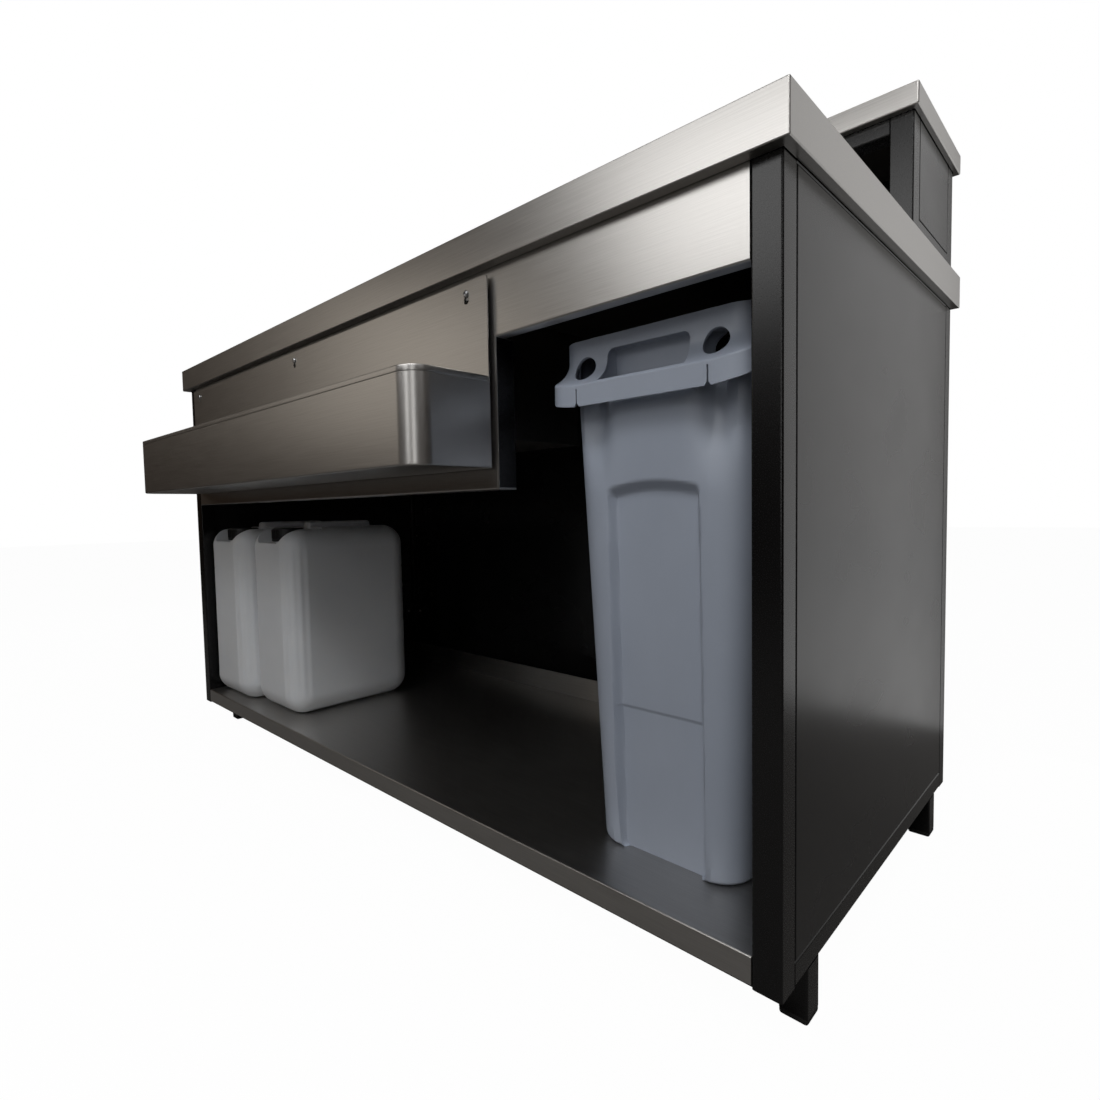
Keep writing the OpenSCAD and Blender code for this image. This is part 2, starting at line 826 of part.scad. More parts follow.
module drain_valve() color("#b48a4a") {
    low_z = valve_z - valve_h / 2;
    stem_y = lever_y + lever_t + loose;
    difference() {
        union() {
            rod([well_x, well_y, low_z], valve_r, valve_h);
            rod_y([well_x, stem_y, valve_z], stem_r + stem_wall, well_y - valve_r - stem_y + stem_r);
            rod([well_x, well_y, low_z - spigot_l], drain_r, spigot_l + eps);
        }
        rod([well_x, well_y, low_z - spigot_l - eps], drain_bore_r, valve_h + spigot_l + 2 * eps);
        rod([well_x, well_y, pipe_z], drain_r + valve_clear, valve_h);
        translate([well_x, well_y, valve_z]) sphere(r = ball_r + valve_clear);
        rod_y([well_x, lever_y, valve_z], stem_r + valve_clear, well_y - lever_y);
    }
}

// The ball has a cross bore: closed at rest, open after a quarter turn
module valve_ball() color("#c8c8c8") {
    stem_y = lever_y + lever_t;
    stem_end = well_y - ball_r + 2;
    difference() {
        translate([well_x, well_y, valve_z]) sphere(r = ball_r);
        rod_x([well_x - ball_r - eps, well_y, valve_z], drain_bore_r - 2, 2 * (ball_r + eps));
    }
    rod_y([well_x, stem_y, valve_z], stem_r, stem_end - stem_y);
}

module valve_lever() color("#a3262a") {
    end_x = well_x + lever_l - lever_h / 2;
    block([well_x, lever_y, valve_z - lever_h / 2], [end_x - well_x, lever_t, lever_h]);
    for (x = [well_x, end_x])
        rod_y([x, lever_y, valve_z], lever_h / 2, lever_t);
}

// Riser: two welded end frames, cross rails and boards
module riser_bolt_places() {
    for (x = [-1, 1] * (half_w - tube / 2), y = riser_bolt_y)
        translate([x, y, riser_rail_z]) children();
}

module riser_frame(x) color(black) {
    difference() {
        union() {
            hollow([x, riser_y, top_z], [tube, tube, riser_top - top_z], 2);
            hollow([x, ry - tube, top_z], [tube, tube, riser_top - top_z], 2);
            hollow([x, riser_y + tube, top_z], [tube, ry - riser_y - 2 * tube, tube], 1);
        }
        riser_bolt_places() {
            rod([0, 0, -tube - eps], riser_bolt_r + bolt_clear, tube_wall + 2 * eps);
            rod([0, 0, -tube_wall - eps], bolt_head_r + 1, tube_wall + 2 * eps);
        }
    }
}

module riser_left_frame() riser_frame(-half_w);
module riser_right_frame() riser_frame(post_x);

module riser_cross_rails() color(black) {
    w = 2 * post_x;
    hollow([-post_x, riser_y, riser_top - tube], [w, tube, tube], 0);
    hollow([-post_x, ry - tube, riser_top - tube], [w, tube, tube], 0);
    hollow([-post_x, ry - tube, top_z], [w, tube, tube], 0);
}

riser_z0 = riser_rail_z + seam;
module riser_left_panel() side_panel(-half_w, riser_z0, riser_top - seam, riser_y);
module riser_right_panel() side_panel(inner_x, riser_z0, riser_top - seam, riser_y);
module riser_back_panel() rear_panel(riser_z0, riser_top - tube - seam);

module riser_bolts() color("#8f9092") {
    riser_bolt_places() {
        rod([0, 0, tube_wall - tube], bolt_head_r, bolt_head_h);
        rod([0, 0, deck_z - bolt_bite - riser_rail_z], riser_bolt_r,
            top_z + tube_wall - deck_z + bolt_bite);
    }
}

module bar_top() color(stainless) {
    translate([0, riser_y - bar_front, bar_z])
        folded_top(2 * (half_w + bar_side), bar_d, bar_edge, bar_side - 1, bar_front - 1, bar_rear - 1);
}

module bar_board() color("#8a6f52") {
    w = 2 * (half_w + bar_side - sheet - fit);
    block([-w / 2, riser_y - bar_front + sheet + fit, riser_top],
        [w, bar_d - 2 * (sheet + fit), top_board]);
}

// Bottle rail: tray with rounded front corners on a back plate with keyholes
module keyhole() {
    slot_r = stud_r + key_clear;
    rod_y([0, -sheet, 0], slot_r, 3 * sheet);
    rod_y([0, -sheet, -key_drop], stud_head_r + key_clear, 3 * sheet);
    block([-slot_r, -sheet, -key_drop], [2 * slot_r, 3 * sheet, key_drop]);
}

module tray_outline(inset) {
    translate([rail_x, rail_front_y + inset])
        front_round(rail_w - 2 * inset, rail_reach - inset, rail_r - inset);
}

// The tray's wall, open at its back, with the given thickness
module tray_wall(z, h, t) {
    translate([0, 0, z]) linear_extrude(h) difference() {
        tray_outline(0);
        tray_outline(t);
        translate([rail_x - rail_w / 2 + t, rail_front_y + rail_r])
            square([rail_w - 2 * t, rail_reach]);
    }
}

module speed_rail() color(stainless) {
    translate([0, 0, rail_z]) linear_extrude(sheet) tray_outline(0);
    tray_wall(rail_z, rail_h, sheet);
    tray_wall(rail_z + rail_h - rail_hem, rail_hem, 2 * sheet);
    difference() {
        translate([rail_x, rail_plate_y, rail_top_z]) rotate([-90, 0, 0])
            linear_extrude(sheet) front_round(rail_w, rail_plate_h, rail_plate_r);
        for (x = stud_x)
            translate([x, rail_plate_y, stud_z]) keyhole();
    }
}

// Shoulder studs with their nuts behind the fascia
module rail_studs() color("#9a9b9d") {
    neck = sheet + 2 * loose;
    collar = rail_standoff - loose;
    tail = sheet + nut_h + 3;
    for (x = stud_x) {
        rod_y([x, fy - collar, stud_z], collar_r, collar);
        rod_y([x, fy - collar - neck, stud_z], stud_r, neck);
        rod_y([x, fy - collar - neck - stud_head_t, stud_z], stud_head_r, stud_head_t);
        rod_y([x, fy, stud_z], stud_r, tail);
        difference() {
            translate([x, fy + sheet, stud_z]) rotate([-90, 0, 0])
                cylinder(r = nut_r, h = nut_h, $fn = 6);
            rod_y([x, fy, stud_z], stud_r + 0.05, tail + eps);
        }
    }
}

module rail_buffers() color("#141414") {
    for (x = [-1, 1] * (rail_w / 2 - buffer_in))
        rod_y([rail_x + x, rail_back_y + loose, buffer_z], buffer_r, rail_standoff - loose);
}

// Bin: tapered body, and a sloping deck with a grip at each end
module bin_slice(z, w, l, y, inset) {
    translate([0, y + inset, z]) linear_extrude(1)
        all_round(w - 2 * inset, l - 2 * inset, bin_corner - inset, $fn = 32);
}

module bin_body(inset, floor_z) {
    top_over = inset > 0 ? eps : 0;
    top_y = deck_reach - 1;
    hull() {
        bin_slice(floor_z, bin_foot_w, bin_foot_l, bin_foot_back, inset);
        bin_slice(bin_h - 1 + top_over, bin_top_w, bin_l - 2 * top_y, top_y, inset);
    }
}

// Rim: a skirt all round, and a cove that sweeps in and up from it to the mouth
function cove_in(turn) = (sin(turn) - sin(cove_start)) / (1 - sin(cove_start));
function cove_up(turn) = cove_h * (1 - cos(turn) / cos(cove_start));

module rim_slice(z, turn, inset) {
    in_x = bin_rim * cove_in(turn) + inset;
    in_y = deck_reach * cove_in(turn) + inset;
    translate([0, in_y, z]) linear_extrude(1)
        all_round(bin_w - 2 * in_x, bin_l - 2 * in_y, rim_r - inset, $fn = 24);
}

module rim_solid(inset) {
    low = bin_skirt_z + grip_h - inset - 1;
    step = (90 - cove_start) / deck_steps;
    hull() {
        rim_slice(bin_skirt_z - (inset > 0 ? eps : 0), cove_start, inset);
        rim_slice(low, cove_start, inset);
    }
    for (i = [1:deck_steps])
        hull()
            for (turn = [cove_start + (i - 1) * step, cove_start + i * step])
                rim_slice(low + cove_up(turn), turn, inset);
    hull() {
        rim_slice(low + cove_h, 90, inset);
        rim_slice(low + deck_h, 90, inset);
    }
}

// Space below the skirt, which rises from the grips towards the middle of the long sides
module side_space() {
    steps = 6;
    rise = [for (i = [0:steps]) let (f = i / steps)
        [grip_start + (side_rise_end - grip_start) * f, bin_skirt_z + side_rise * (1 - cos(180 * f)) / 2]];
    back = [for (i = [steps:-1:0]) [bin_l - rise[i][0], rise[i][1]]];
    translate([-bin_w / 2 - eps, 0, 0]) rotate([90, 0, 90]) linear_extrude(bin_w + 2 * eps)
        polygon(concat([[grip_start, bin_skirt_z - 1]], rise, back, [[bin_l - grip_start, bin_skirt_z - 1]]));
}

module hand_hole() {
    translate([0, bin_wall + hand_deep, bin_skirt_z + grip_h]) rotate([90, 0, 0])
        linear_extrude(hand_deep) hull() {
            translate([-hand_w / 2, -bin_wall * 2]) square([hand_w, bin_wall * 2 + eps]);
            for (x = [-1, 1] * (hand_w / 2 - hand_taper - hand_r))
                translate([x, hand_h - hand_r]) circle(hand_r);
        }
}

// Holes and slits at the front; a mirrored copy makes them at the rear
module grip_holes() {
    turn = acos(cos(cove_start) * (1 - deck_hole_up / cove_h));
    lean = atan(cove_h * tan(turn) * (1 - sin(cove_start)) / (deck_reach * cos(cove_start)));
    for (x = [-1, 1] * deck_hole_x) {
        translate([x, deck_reach * cove_in(turn), bin_skirt_z + grip_h + deck_hole_up])
            rotate([lean, 0, 0]) cylinder(r = deck_hole_r, h = 4 * bin_wall, center = true);
        block([x - slit_w / 2, -eps, bin_skirt_z - eps], [slit_w, bin_wall + 2 * eps, slit_h]);
    }
    hand_hole();
}

module bin_panel() {
    translate([0, bin_foot_back, 0]) rotate([bin_lean, 0, 0]) rotate([90, 0, 0])
        linear_extrude(2 * bin_panel_deep, center = true)
            translate([0, -eps]) all_round(bin_panel_w, bin_panel_h + eps, bin_panel_r);
}

// Space for the fingers behind the hand hole; with a wall, the boss around it
module finger_space(wall) {
    w = hand_w + 8 + 2 * wall;
    for (end = [0, 1])
        translate([0, end * bin_l, 0]) mirror([0, end, 0])
            block([-w / 2, -eps, bin_skirt_z + grip_h / 2 - wall],
                [w, deck_reach + grip_space + wall + eps, grip_h / 2 + hand_h + 4 + 2 * wall]);
}

module waste_bin() color(grey) {
    behind = bin_foot_back + bin_panel_deep + bin_wall;
    translate([bin_x, bin_y, bin_z]) difference() {
        union() {
            difference() {
                bin_body(0, 0);
                difference() {
                    bin_body(bin_wall, bin_wall);
                    block([-bin_panel_w / 2 - bin_panel_wall, 0, 0],
                        [bin_panel_w + 2 * bin_panel_wall, behind, bin_panel_h + bin_panel_wall]);
                    finger_space(bin_wall);
                }
                finger_space(0);
            }
            difference() {
                rim_solid(0);
                rim_solid(bin_wall);
                bin_body(bin_wall, bin_wall);
                side_space();
                for (end = [0, 1])
                    translate([0, end * bin_l, 0]) mirror([0, end, 0]) grip_holes();
            }
        }
        bin_panel();
    }
}

// Canister: rounded body, cap recess with neck, finger space under the grip
module can_body() {
    intersection() {
        linear_extrude(can_h) all_round(can_w, can_d, can_r);
        translate([0, can_d, 0]) rotate([90, 0, 0])
            linear_extrude(can_d) all_round(can_w, can_h, can_r);
        translate([-can_w / 2, can_d / 2, 0]) rotate([90, 0, 90])
            linear_extrude(can_w) all_round(can_d, can_h, can_r);
    }
}

module can_recess_cut() {
    back = neck_y + cap_r + recess_behind;
    low = recess_low_w / 2;
    high = can_w / 2 - recess_in;
    translate([0, back, 0]) rotate([90, 0, 0]) linear_extrude(back + eps)
        polygon([[-low, recess_z], [low, recess_z], [high, can_h + eps], [-high, can_h + eps]]);
}

module canister(at) color(milk) {
    translate(at) {
        difference() {
            can_body();
            can_recess_cut();
            block([-can_gap_w / 2, gap_y, gap_z], [can_gap_w, can_gap_l, can_h]);
        }
        rod([0, neck_y, recess_z - eps], neck_r, neck_h + eps);
        block([-can_grip_w / 2, gap_y - grip_end, can_h + can_grip_up - grip_t],
            [can_grip_w, can_gap_l + 2 * grip_end, grip_t]);
    }
}

module cap(at) color("#17181a") {
    translate(at) difference() {
        rod([0, neck_y, cap_z], cap_r, cap_h);
        rod([0, neck_y, cap_z - eps], neck_r + cap_clear, cap_h - cap_wall + eps);
    }
}

module left_canister() canister(left_can);
module right_canister() canister(right_can);
module left_cap() cap(left_can);
module right_cap() cap(right_can);

front_left_post();
front_right_post();
rear_left_post();
rear_right_post();
front_left_leg();
front_right_leg();
rear_left_leg();
rear_right_leg();
foot_caps();
bottom_front_rail();
bottom_rear_rail();
bottom_left_rail();
bottom_right_rail();
shelf_bearers();
top_front_rail();
top_rear_rail();
top_left_rail();
top_right_rail();
fascia_post();
fascia_rail();
bottom_shelf();
left_side_panel();
right_side_panel();
back_panel();
panel_cleats();
panel_screws();
worktop();
worktop_board();
top_bolts();
fascia();
fascia_screws();
well_liner();
well_insulation();
well_jacket();
false_bottom();
well_lid();
lid_handle();
drain_pipe();
drain_valve();
valve_ball();
valve_lever();
riser_left_frame();
riser_right_frame();
riser_left_panel();
riser_right_panel();
riser_cross_rails();
riser_back_panel();
riser_bolts();
bar_top();
bar_board();
speed_rail();
rail_studs();
rail_buffers();
waste_bin();
left_canister();
right_canister();
left_cap();
right_cap();
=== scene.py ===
import math

import bmesh
import bpy
from mathutils import Matrix, Vector


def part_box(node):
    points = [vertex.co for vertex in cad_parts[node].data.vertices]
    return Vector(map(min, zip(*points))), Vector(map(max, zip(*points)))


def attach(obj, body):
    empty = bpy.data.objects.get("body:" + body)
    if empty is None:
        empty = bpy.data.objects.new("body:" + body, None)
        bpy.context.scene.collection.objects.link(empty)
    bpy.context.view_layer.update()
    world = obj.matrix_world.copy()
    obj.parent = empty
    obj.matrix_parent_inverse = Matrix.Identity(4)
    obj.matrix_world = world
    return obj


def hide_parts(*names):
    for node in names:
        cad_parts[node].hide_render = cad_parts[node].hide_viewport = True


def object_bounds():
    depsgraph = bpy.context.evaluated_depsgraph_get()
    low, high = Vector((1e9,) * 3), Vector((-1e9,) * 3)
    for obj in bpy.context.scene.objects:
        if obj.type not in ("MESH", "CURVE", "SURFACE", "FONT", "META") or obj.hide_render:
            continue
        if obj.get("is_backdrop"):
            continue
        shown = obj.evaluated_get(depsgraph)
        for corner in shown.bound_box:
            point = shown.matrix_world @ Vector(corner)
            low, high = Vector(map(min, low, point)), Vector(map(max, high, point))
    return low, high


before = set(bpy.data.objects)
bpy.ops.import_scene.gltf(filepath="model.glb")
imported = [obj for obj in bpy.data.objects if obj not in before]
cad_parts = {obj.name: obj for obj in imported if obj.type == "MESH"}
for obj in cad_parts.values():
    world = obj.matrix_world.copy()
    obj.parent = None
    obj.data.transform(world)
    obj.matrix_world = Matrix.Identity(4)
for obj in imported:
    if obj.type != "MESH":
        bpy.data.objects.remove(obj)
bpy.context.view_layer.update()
print("frame loaded,", len(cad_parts), "nodes")

mm = 0.001  # every size below is in millimetres, and meshes turn to metres at the end


# Camera, at the photo's angle from low down at the right-hand end: place in metres, angles in
# radians, fitted to the counter's straight edges

shot = {
    "place": (0.97054, -0.80375, 0.51702),
    "yaw": 0.74978, "pitch": 0.05496, "roll": -0.01847,
    "lens": 20.723, "sensor": 36.0,
    "shift": (-0.00503, -0.00443),
}
lookAt = Vector((
    -math.sin(shot["yaw"]) * math.cos(shot["pitch"]),
    math.cos(shot["yaw"]) * math.cos(shot["pitch"]),
    -math.sin(shot["pitch"]),
))
level = Vector((math.cos(shot["yaw"]), math.sin(shot["yaw"]), 0))
upright = level.cross(lookAt)
tilt = Matrix.Rotation(-shot["roll"], 3, lookAt)
cameraTurn = Matrix((tilt @ level, tilt @ upright, -lookAt)).transposed()

camera = bpy.data.objects.new("camera", bpy.data.cameras.new("camera"))
camera.data.lens = shot["lens"]
camera.data.sensor_width = shot["sensor"]
camera.data.shift_x, camera.data.shift_y = shot["shift"]
camera.matrix_world = Matrix.Translation(shot["place"]) @ cameraTurn.to_4x4()
bpy.context.scene.collection.objects.link(camera)
bpy.context.scene.camera = camera


# Small helpers for materials

def linear(hexColour):
    parts = [int(hexColour[i:i + 2], 16) / 255 for i in (1, 3, 5)]
    return [p / 12.92 if p <= 0.04045 else ((p + 0.055) / 1.055) ** 2.4 for p in parts] + [1.0]


def addNode(tree, kind, settings=None, links=None):
    node = tree.nodes.new(kind)
    for key, value in (settings or {}).items():
        if isinstance(key, str) and hasattr(node, key):
            setattr(node, key, value)
        else:
            node.inputs[key].default_value = value
    for key, source in (links or {}).items():
        tree.links.new(source, node.inputs[key])
    return node


def newFinish(name, slot, colour, roughness, **sockets):
    material = bpy.data.materials.new(name)
    material.use_nodes = True
    tree = material.node_tree
    tree.nodes.clear()
    shader = addNode(tree, "ShaderNodeBsdfPrincipled",
                     {"Base Color": linear(colour), "Roughness": roughness, **sockets})
    addNode(tree, "ShaderNodeOutputMaterial", links={0: shader.outputs[0]})
    coords = addNode(tree, "ShaderNodeTexCoord").outputs["Object"]
    return {"material": material, "slot": slot, "tree": tree, "shader": shader, "coords": coords}


# A noise whose features have these sizes in millimetres along x, y and z
def grain(finish, sizes, detail=3.0):
    spread = addNode(finish["tree"], "ShaderNodeMapping",
                     {"vector_type": "POINT", "Scale": [1 / (mm * s) for s in sizes]},
                     {"Vector": finish["coords"]})
    noise = addNode(finish["tree"], "ShaderNodeTexNoise",
                    {"Scale": 1.0, "Detail": detail, "Roughness": 0.6},
                    {"Vector": spread.outputs[0]})
    return noise.outputs["Fac"]


# Lets a pattern vary a finish: between two tones, between two roughnesses, and in relief, which is
# a height in millimetres and a strength. What the pattern has outside reach is cut off.
def vary(finish, pattern, tones=None, roughness=None, relief=None, reach=(0.3, 0.7)):
    tree, shader = finish["tree"], finish["shader"]
    window = {"From Min": reach[0], "From Max": reach[1]}
    if tones:
        share = addNode(tree, "ShaderNodeMapRange", window, {"Value": pattern}).outputs["Result"]
        colour = addNode(tree, "ShaderNodeMix",
                         {"data_type": "RGBA", 6: linear(tones[0]), 7: linear(tones[1])},
                         {0: share})
        tree.links.new(colour.outputs[2], shader.inputs["Base Color"])
    if roughness:
        gloss = addNode(tree, "ShaderNodeMapRange",
                        {**window, "To Min": roughness[0], "To Max": roughness[1]},
                        {"Value": pattern})
        tree.links.new(gloss.outputs["Result"], shader.inputs["Roughness"])
    if relief:
        height, strength = relief
        surface = addNode(tree, "ShaderNodeBump", {"Strength": strength, "Distance": height * mm},
                          {"Height": pattern})
        tree.links.new(surface.outputs[0], shader.inputs["Normal"])


# Stainless steel 304, brushed lengthwise: fine scratches run along the sheet and spread reflections
# across them. Real scratches are 0.05 mm wide; they are drawn 0.4 mm wide so that they show.
scratch = {"long": 71.4, "wide": 0.4}


def brushedSteel(name, along, roughness=(0.28, 0.36)):
    finish = newFinish(name, "brushed_stainless", "#b4b1ad", 0.3, Metallic=1.0)
    sizes = [scratch["wide"]] * 3
    sizes[along] = scratch["long"]
    vary(finish, grain(finish, sizes, detail=2.0), ("#b3b1ae", "#c6c4c1"), roughness, (0.012, 0.35))
    return finish


steelAlongX = brushedSteel("brushedStainlessAlongX", 0)
railSteel = brushedSteel("brushedStainlessRail", 0, (0.3, 0.37))
steelAlongY = brushedSteel("brushedStainlessAlongY", 1)
shelfSteel = brushedSteel("brushedStainlessShelf", 0, (0.3, 0.42))

# Mild steel tube with a satin black powder coat: the cured powder leaves a fine orange peel of 1 mm
powderCoat = newFinish("powderCoatBlack", "black_powder_coat", "#050506", 0.27, IOR=1.5)
vary(powderCoat, grain(powderCoat, (1.11, 1.11, 1.11), detail=1.0), roughness=(0.25, 0.28),
     relief=(0.003, 0.5))

# High pressure laminate on board, satin black: a faint pearl grain of 0.8 mm, and soft smudges
laminate = newFinish("laminateBlack", "black_board", "#151516", 0.27, IOR=1.5)
vary(laminate, grain(laminate, (0.833, 0.833, 0.833), detail=2.0), relief=(0.005, 0.4))
vary(laminate, grain(laminate, (250, 250, 167)), ("#131314", "#181819"), (0.24, 0.29))

# Zinc-plated steel screws: bright, a little milky
zinc = newFinish("zincPlatedSteel", "zinc_screws", "#a9abad", 0.32, Metallic=1.0)
vary(zinc, grain(zinc, (2.5, 2.5, 2.5)), roughness=(0.25, 0.4))

# Moisture-resistant chipboard, coloured near black: chips of about 3 mm show faintly
chipboard = newFinish("nearBlackChipboard", "board_core", "#15120f", 0.75, IOR=1.45)
chips = addNode(chipboard["tree"], "ShaderNodeTexVoronoi", {"Scale": 1 / (mm * 3.125)},
                {"Vector": chipboard["coords"]})
vary(chipboard, chips.outputs["Distance"], ("#100e0c", "#1d1915"), relief=(0.1, 0.5),
     reach=(0.1, 0.6))

# Rigid polyurethane foam: matt and porous
foam = newFinish("rigidFoam", "foam", "#d3bd7c", 0.9, IOR=1.45)
vary(foam, grain(foam, (1.43, 1.43, 1.43), detail=2.0), ("#c2ab6a", "#dcc88b"), relief=(0.2, 0.6))

# Natural rubber with carbon black: matt, a little dusty in patches
rubber = newFinish("blackRubber", "black_rubber", "#101011", 0.7, IOR=1.52)
vary(rubber, grain(rubber, (8.33, 8.33, 8.33)), ("#0f0f10", "#1d1c1b"), relief=(0.05, 0.5),
     reach=(0.45, 0.75))

# Turned brass valve body: satin, with fine rings from the lathe
brass = newFinish("turnedBrass", "valve_brass", "#b0894a", 0.3, Metallic=1.0)
vary(brass, grain(brass, (16.7, 16.7, 0.556)), roughness=(0.22, 0.38), relief=(0.02, 0.5))

# Chrome-plated ball: nearly a mirror
chrome = newFinish("chromePlate", "ball_chrome", "#c9cacb", 0.08, Metallic=1.0)
vary(chrome, grain(chrome, (3.33, 3.33, 3.33)), roughness=(0.05, 0.12))

# Dipped vinyl on the lever: thick, soft and glossy, with slow waves where it ran
vinyl = newFinish("dippedVinylRed", "lever_red", "#a3262a", 0.35, IOR=1.53)
vary(vinyl, grain(vinyl, (11.1, 11.1, 11.1)), ("#98212a", "#ab2a2c"), relief=(0.2, 0.4))

# Linear low-density polyethylene, injection moulded in grey: satin, with a fine spark texture of
# 1 mm and a gloss that handling has made uneven
binPlastic = newFinish("polyethyleneGrey", "grey_polyethylene", "#9aa1ad", 0.4, IOR=1.51)
vary(binPlastic, grain(binPlastic, (0.909, 0.909, 0.909), detail=1.0), relief=(0.04, 0.4))
vary(binPlastic, grain(binPlastic, (143, 143, 250), detail=4.0), ("#969eac", "#9ea6b4"),
     (0.34, 0.46))

# Natural high-density polyethylene, blow moulded: milky, light passes into it and it has soft waves
naturalPlastic = newFinish("polyethyleneNatural", "natural_polyethylene", "#d2d5d8", 0.38, IOR=1.51,
                           **{"Subsurface Weight": 0.35, "Subsurface Radius": (0.9, 1.0, 1.1),
                              "Subsurface Scale": 8 * mm})
vary(naturalPlastic, grain(naturalPlastic, (45.5, 45.5, 71.4), detail=2.0), roughness=(0.34, 0.44),
     relief=(0.5, 0.5))
vary(naturalPlastic, grain(naturalPlastic, (333, 333, 200)), ("#cdd0d4", "#d8dadc"))

# Polypropylene caps in black, satin from the mould
capPlastic = newFinish("polypropyleneBlack", "black_polypropylene", "#141516", 0.42, IOR=1.49)
vary(capPlastic, grain(capPlastic, (1.11, 1.11, 1.11)), relief=(0.04, 0.5))
print("materials made")


# Small helpers for pieces

def nodeBox(node):
    low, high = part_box(node)
    return low / mm, high / mm


def vertsOf(parts):
    return [p for p in parts if isinstance(p, bmesh.types.BMVert)]


def edgesOf(parts):
    return [p for p in parts if isinstance(p, bmesh.types.BMEdge)]


# Whether an edge lies in planes that are given as (axis, value)
def onPlanes(edge, planes, slack=0.02):
    return all(abs(v.co[axis] - value) < slack for axis, value in planes for v in edge.verts)


def boxIn(bm, low, high):
    low, high = Vector(low), Vector(high)
    made = bmesh.ops.create_cube(bm, size=1.0)["verts"]
    bmesh.ops.scale(bm, vec=high - low, verts=made)
    bmesh.ops.translate(bm, vec=(low + high) / 2, verts=made)
    return made


def rodIn(bm, radius, length, centre, turn, segments=32):
    place = Matrix.Translation(centre) @ Matrix.Rotation(turn, 4, "X")
    bmesh.ops.create_cone(bm, cap_ends=True, segments=segments, radius1=radius, radius2=radius,
                          depth=length, matrix=place)


def roundEdges(bm, edges, radius, segments=4):
    if edges:
        bmesh.ops.bevel(bm, geom=edges, offset=radius, offset_type="OFFSET", affect="EDGES",
                        segments=segments, profile=0.5, material=-1, clamp_overlap=True)


def roundCorners(bm, corners, radius, segments):
    bmesh.ops.bevel(bm, geom=corners, offset=radius, offset_type="OFFSET", affect="VERTICES",
                    segments=segments, profile=0.5, material=-1)


def bentEdges(bm, shortest, leastBend=40):
    return [e for e in bm.edges if len(e.link_faces) == 2 and e.calc_length() > shortest
            and e.calc_face_angle(0) > math.radians(leastBend)]


def moveAll(bm, offset):
    bmesh.ops.translate(bm, vec=offset, verts=bm.verts)
    return bm


# Makes the flat faces of a mesh into a solid
def thicken(bm, offset):
    made = bmesh.ops.extrude_face_region(bm, geom=bm.faces[:])["geom"]
    bmesh.ops.translate(bm, vec=offset, verts=vertsOf(made))


def raiseEdges(bm, edges, offset):
    made = bmesh.ops.extrude_edge_only(bm, edges=edges)["geom"]
    bmesh.ops.translate(bm, vec=offset, verts=vertsOf(made))
    return edgesOf(made)


def cutLevels(bm, levels):
    for z in levels:
        bmesh.ops.bisect_plane(bm, geom=bm.verts[:] + bm.edges[:] + bm.faces[:], plane_co=(0, 0, z),
                               plane_no=(0, 0, 1))


# Lathe: an outline of (radius, along) points is spun about an axis through a place
def spun(bm, outline, place, axis, steps=32):
    along = Vector(axis)
    across = along.orthogonal().normalized()
    place = Vector(place)
    verts = [bm.verts.new(place + across * r + along * d) for r, d in outline]
    edges = [bm.edges.new(pair) for pair in zip(verts, verts[1:])]
    bmesh.ops.spin(bm, geom=verts + edges, cent=place, axis=along, angle=2 * math.pi, steps=steps,
                   use_merge=True)


def smooth(t):
    t = max(0.0, min(1.0, t))
    return t * t * (3 - 2 * t)


# A copy of a CAD node's mesh, merged and with its flat faces joined
def copyOf(node):
    bm = bmesh.new()
    bm.from_mesh(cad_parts[node].data)
    bmesh.ops.scale(bm, vec=(1 / mm,) * 3, verts=bm.verts)
    bmesh.ops.remove_doubles(bm, verts=bm.verts, dist=0.01)
    bmesh.ops.dissolve_limit(bm, angle_limit=math.radians(0.5), verts=bm.verts, edges=bm.edges)
    return bm


def meshFrom(bm, name):
    bmesh.ops.scale(bm, vec=(mm,) * 3, verts=bm.verts)
    mesh = bpy.data.meshes.new(name)
    bm.to_mesh(mesh)
    bm.free()
    return mesh


def bakeModifiers(piece):
    solved = piece.evaluated_get(bpy.context.evaluated_depsgraph_get())
    mesh = bpy.data.meshes.new_from_object(solved)
    piece.modifiers.clear()
    piece.data = mesh


def addPiece(name, bm, finish, body, stands=(), wall=0.0, soften=0.0, cutters=(), crisp=38,
             isNew=True):
    if isNew:
        bmesh.ops.remove_doubles(bm, verts=bm.verts, dist=0.005)
        bmesh.ops.recalc_face_normals(bm, faces=bm.faces)
    piece = bpy.data.objects.new(name, meshFrom(bm, name))
    bpy.context.scene.collection.objects.link(piece)
    if wall:
        shell = piece.modifiers.new("wall", "SOLIDIFY")
        shell.thickness, shell.offset, shell.use_even_offset = wall * mm, -1, True
    made = []
    for cutter in cutters:
        bmesh.ops.recalc_face_normals(cutter, faces=cutter.faces)
        tool = bpy.data.objects.new(name + "Cutter", meshFrom(cutter, name + "Cutter"))
        bpy.context.scene.collection.objects.link(tool)
        made.append(tool)
        cut = piece.modifiers.new("cut", "BOOLEAN")
        cut.operation, cut.solver, cut.object, cut.use_self = "DIFFERENCE", "EXACT", tool, True
    if soften:
        edge = piece.modifiers.new("edge", "BEVEL")
        edge.width, edge.segments, edge.limit_method = soften * mm, 2, "ANGLE"
        edge.angle_limit = math.radians(50)
    bakeModifiers(piece)
    for tool in made:
        bpy.data.objects.remove(tool)
    piece.data.materials.clear()
    piece.data.materials.append(finish["material"])
    piece.data.shade_smooth()
    piece.data.set_sharp_from_angle(angle=math.radians(crisp))
    even = piece.modifiers.new("evenShading", "WEIGHTED_NORMAL")
    even.keep_sharp = True
    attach(piece, body)
    if stands:
        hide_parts(*stands)
    return piece


# Frame: square tube with its rolled corners, welded up and coated

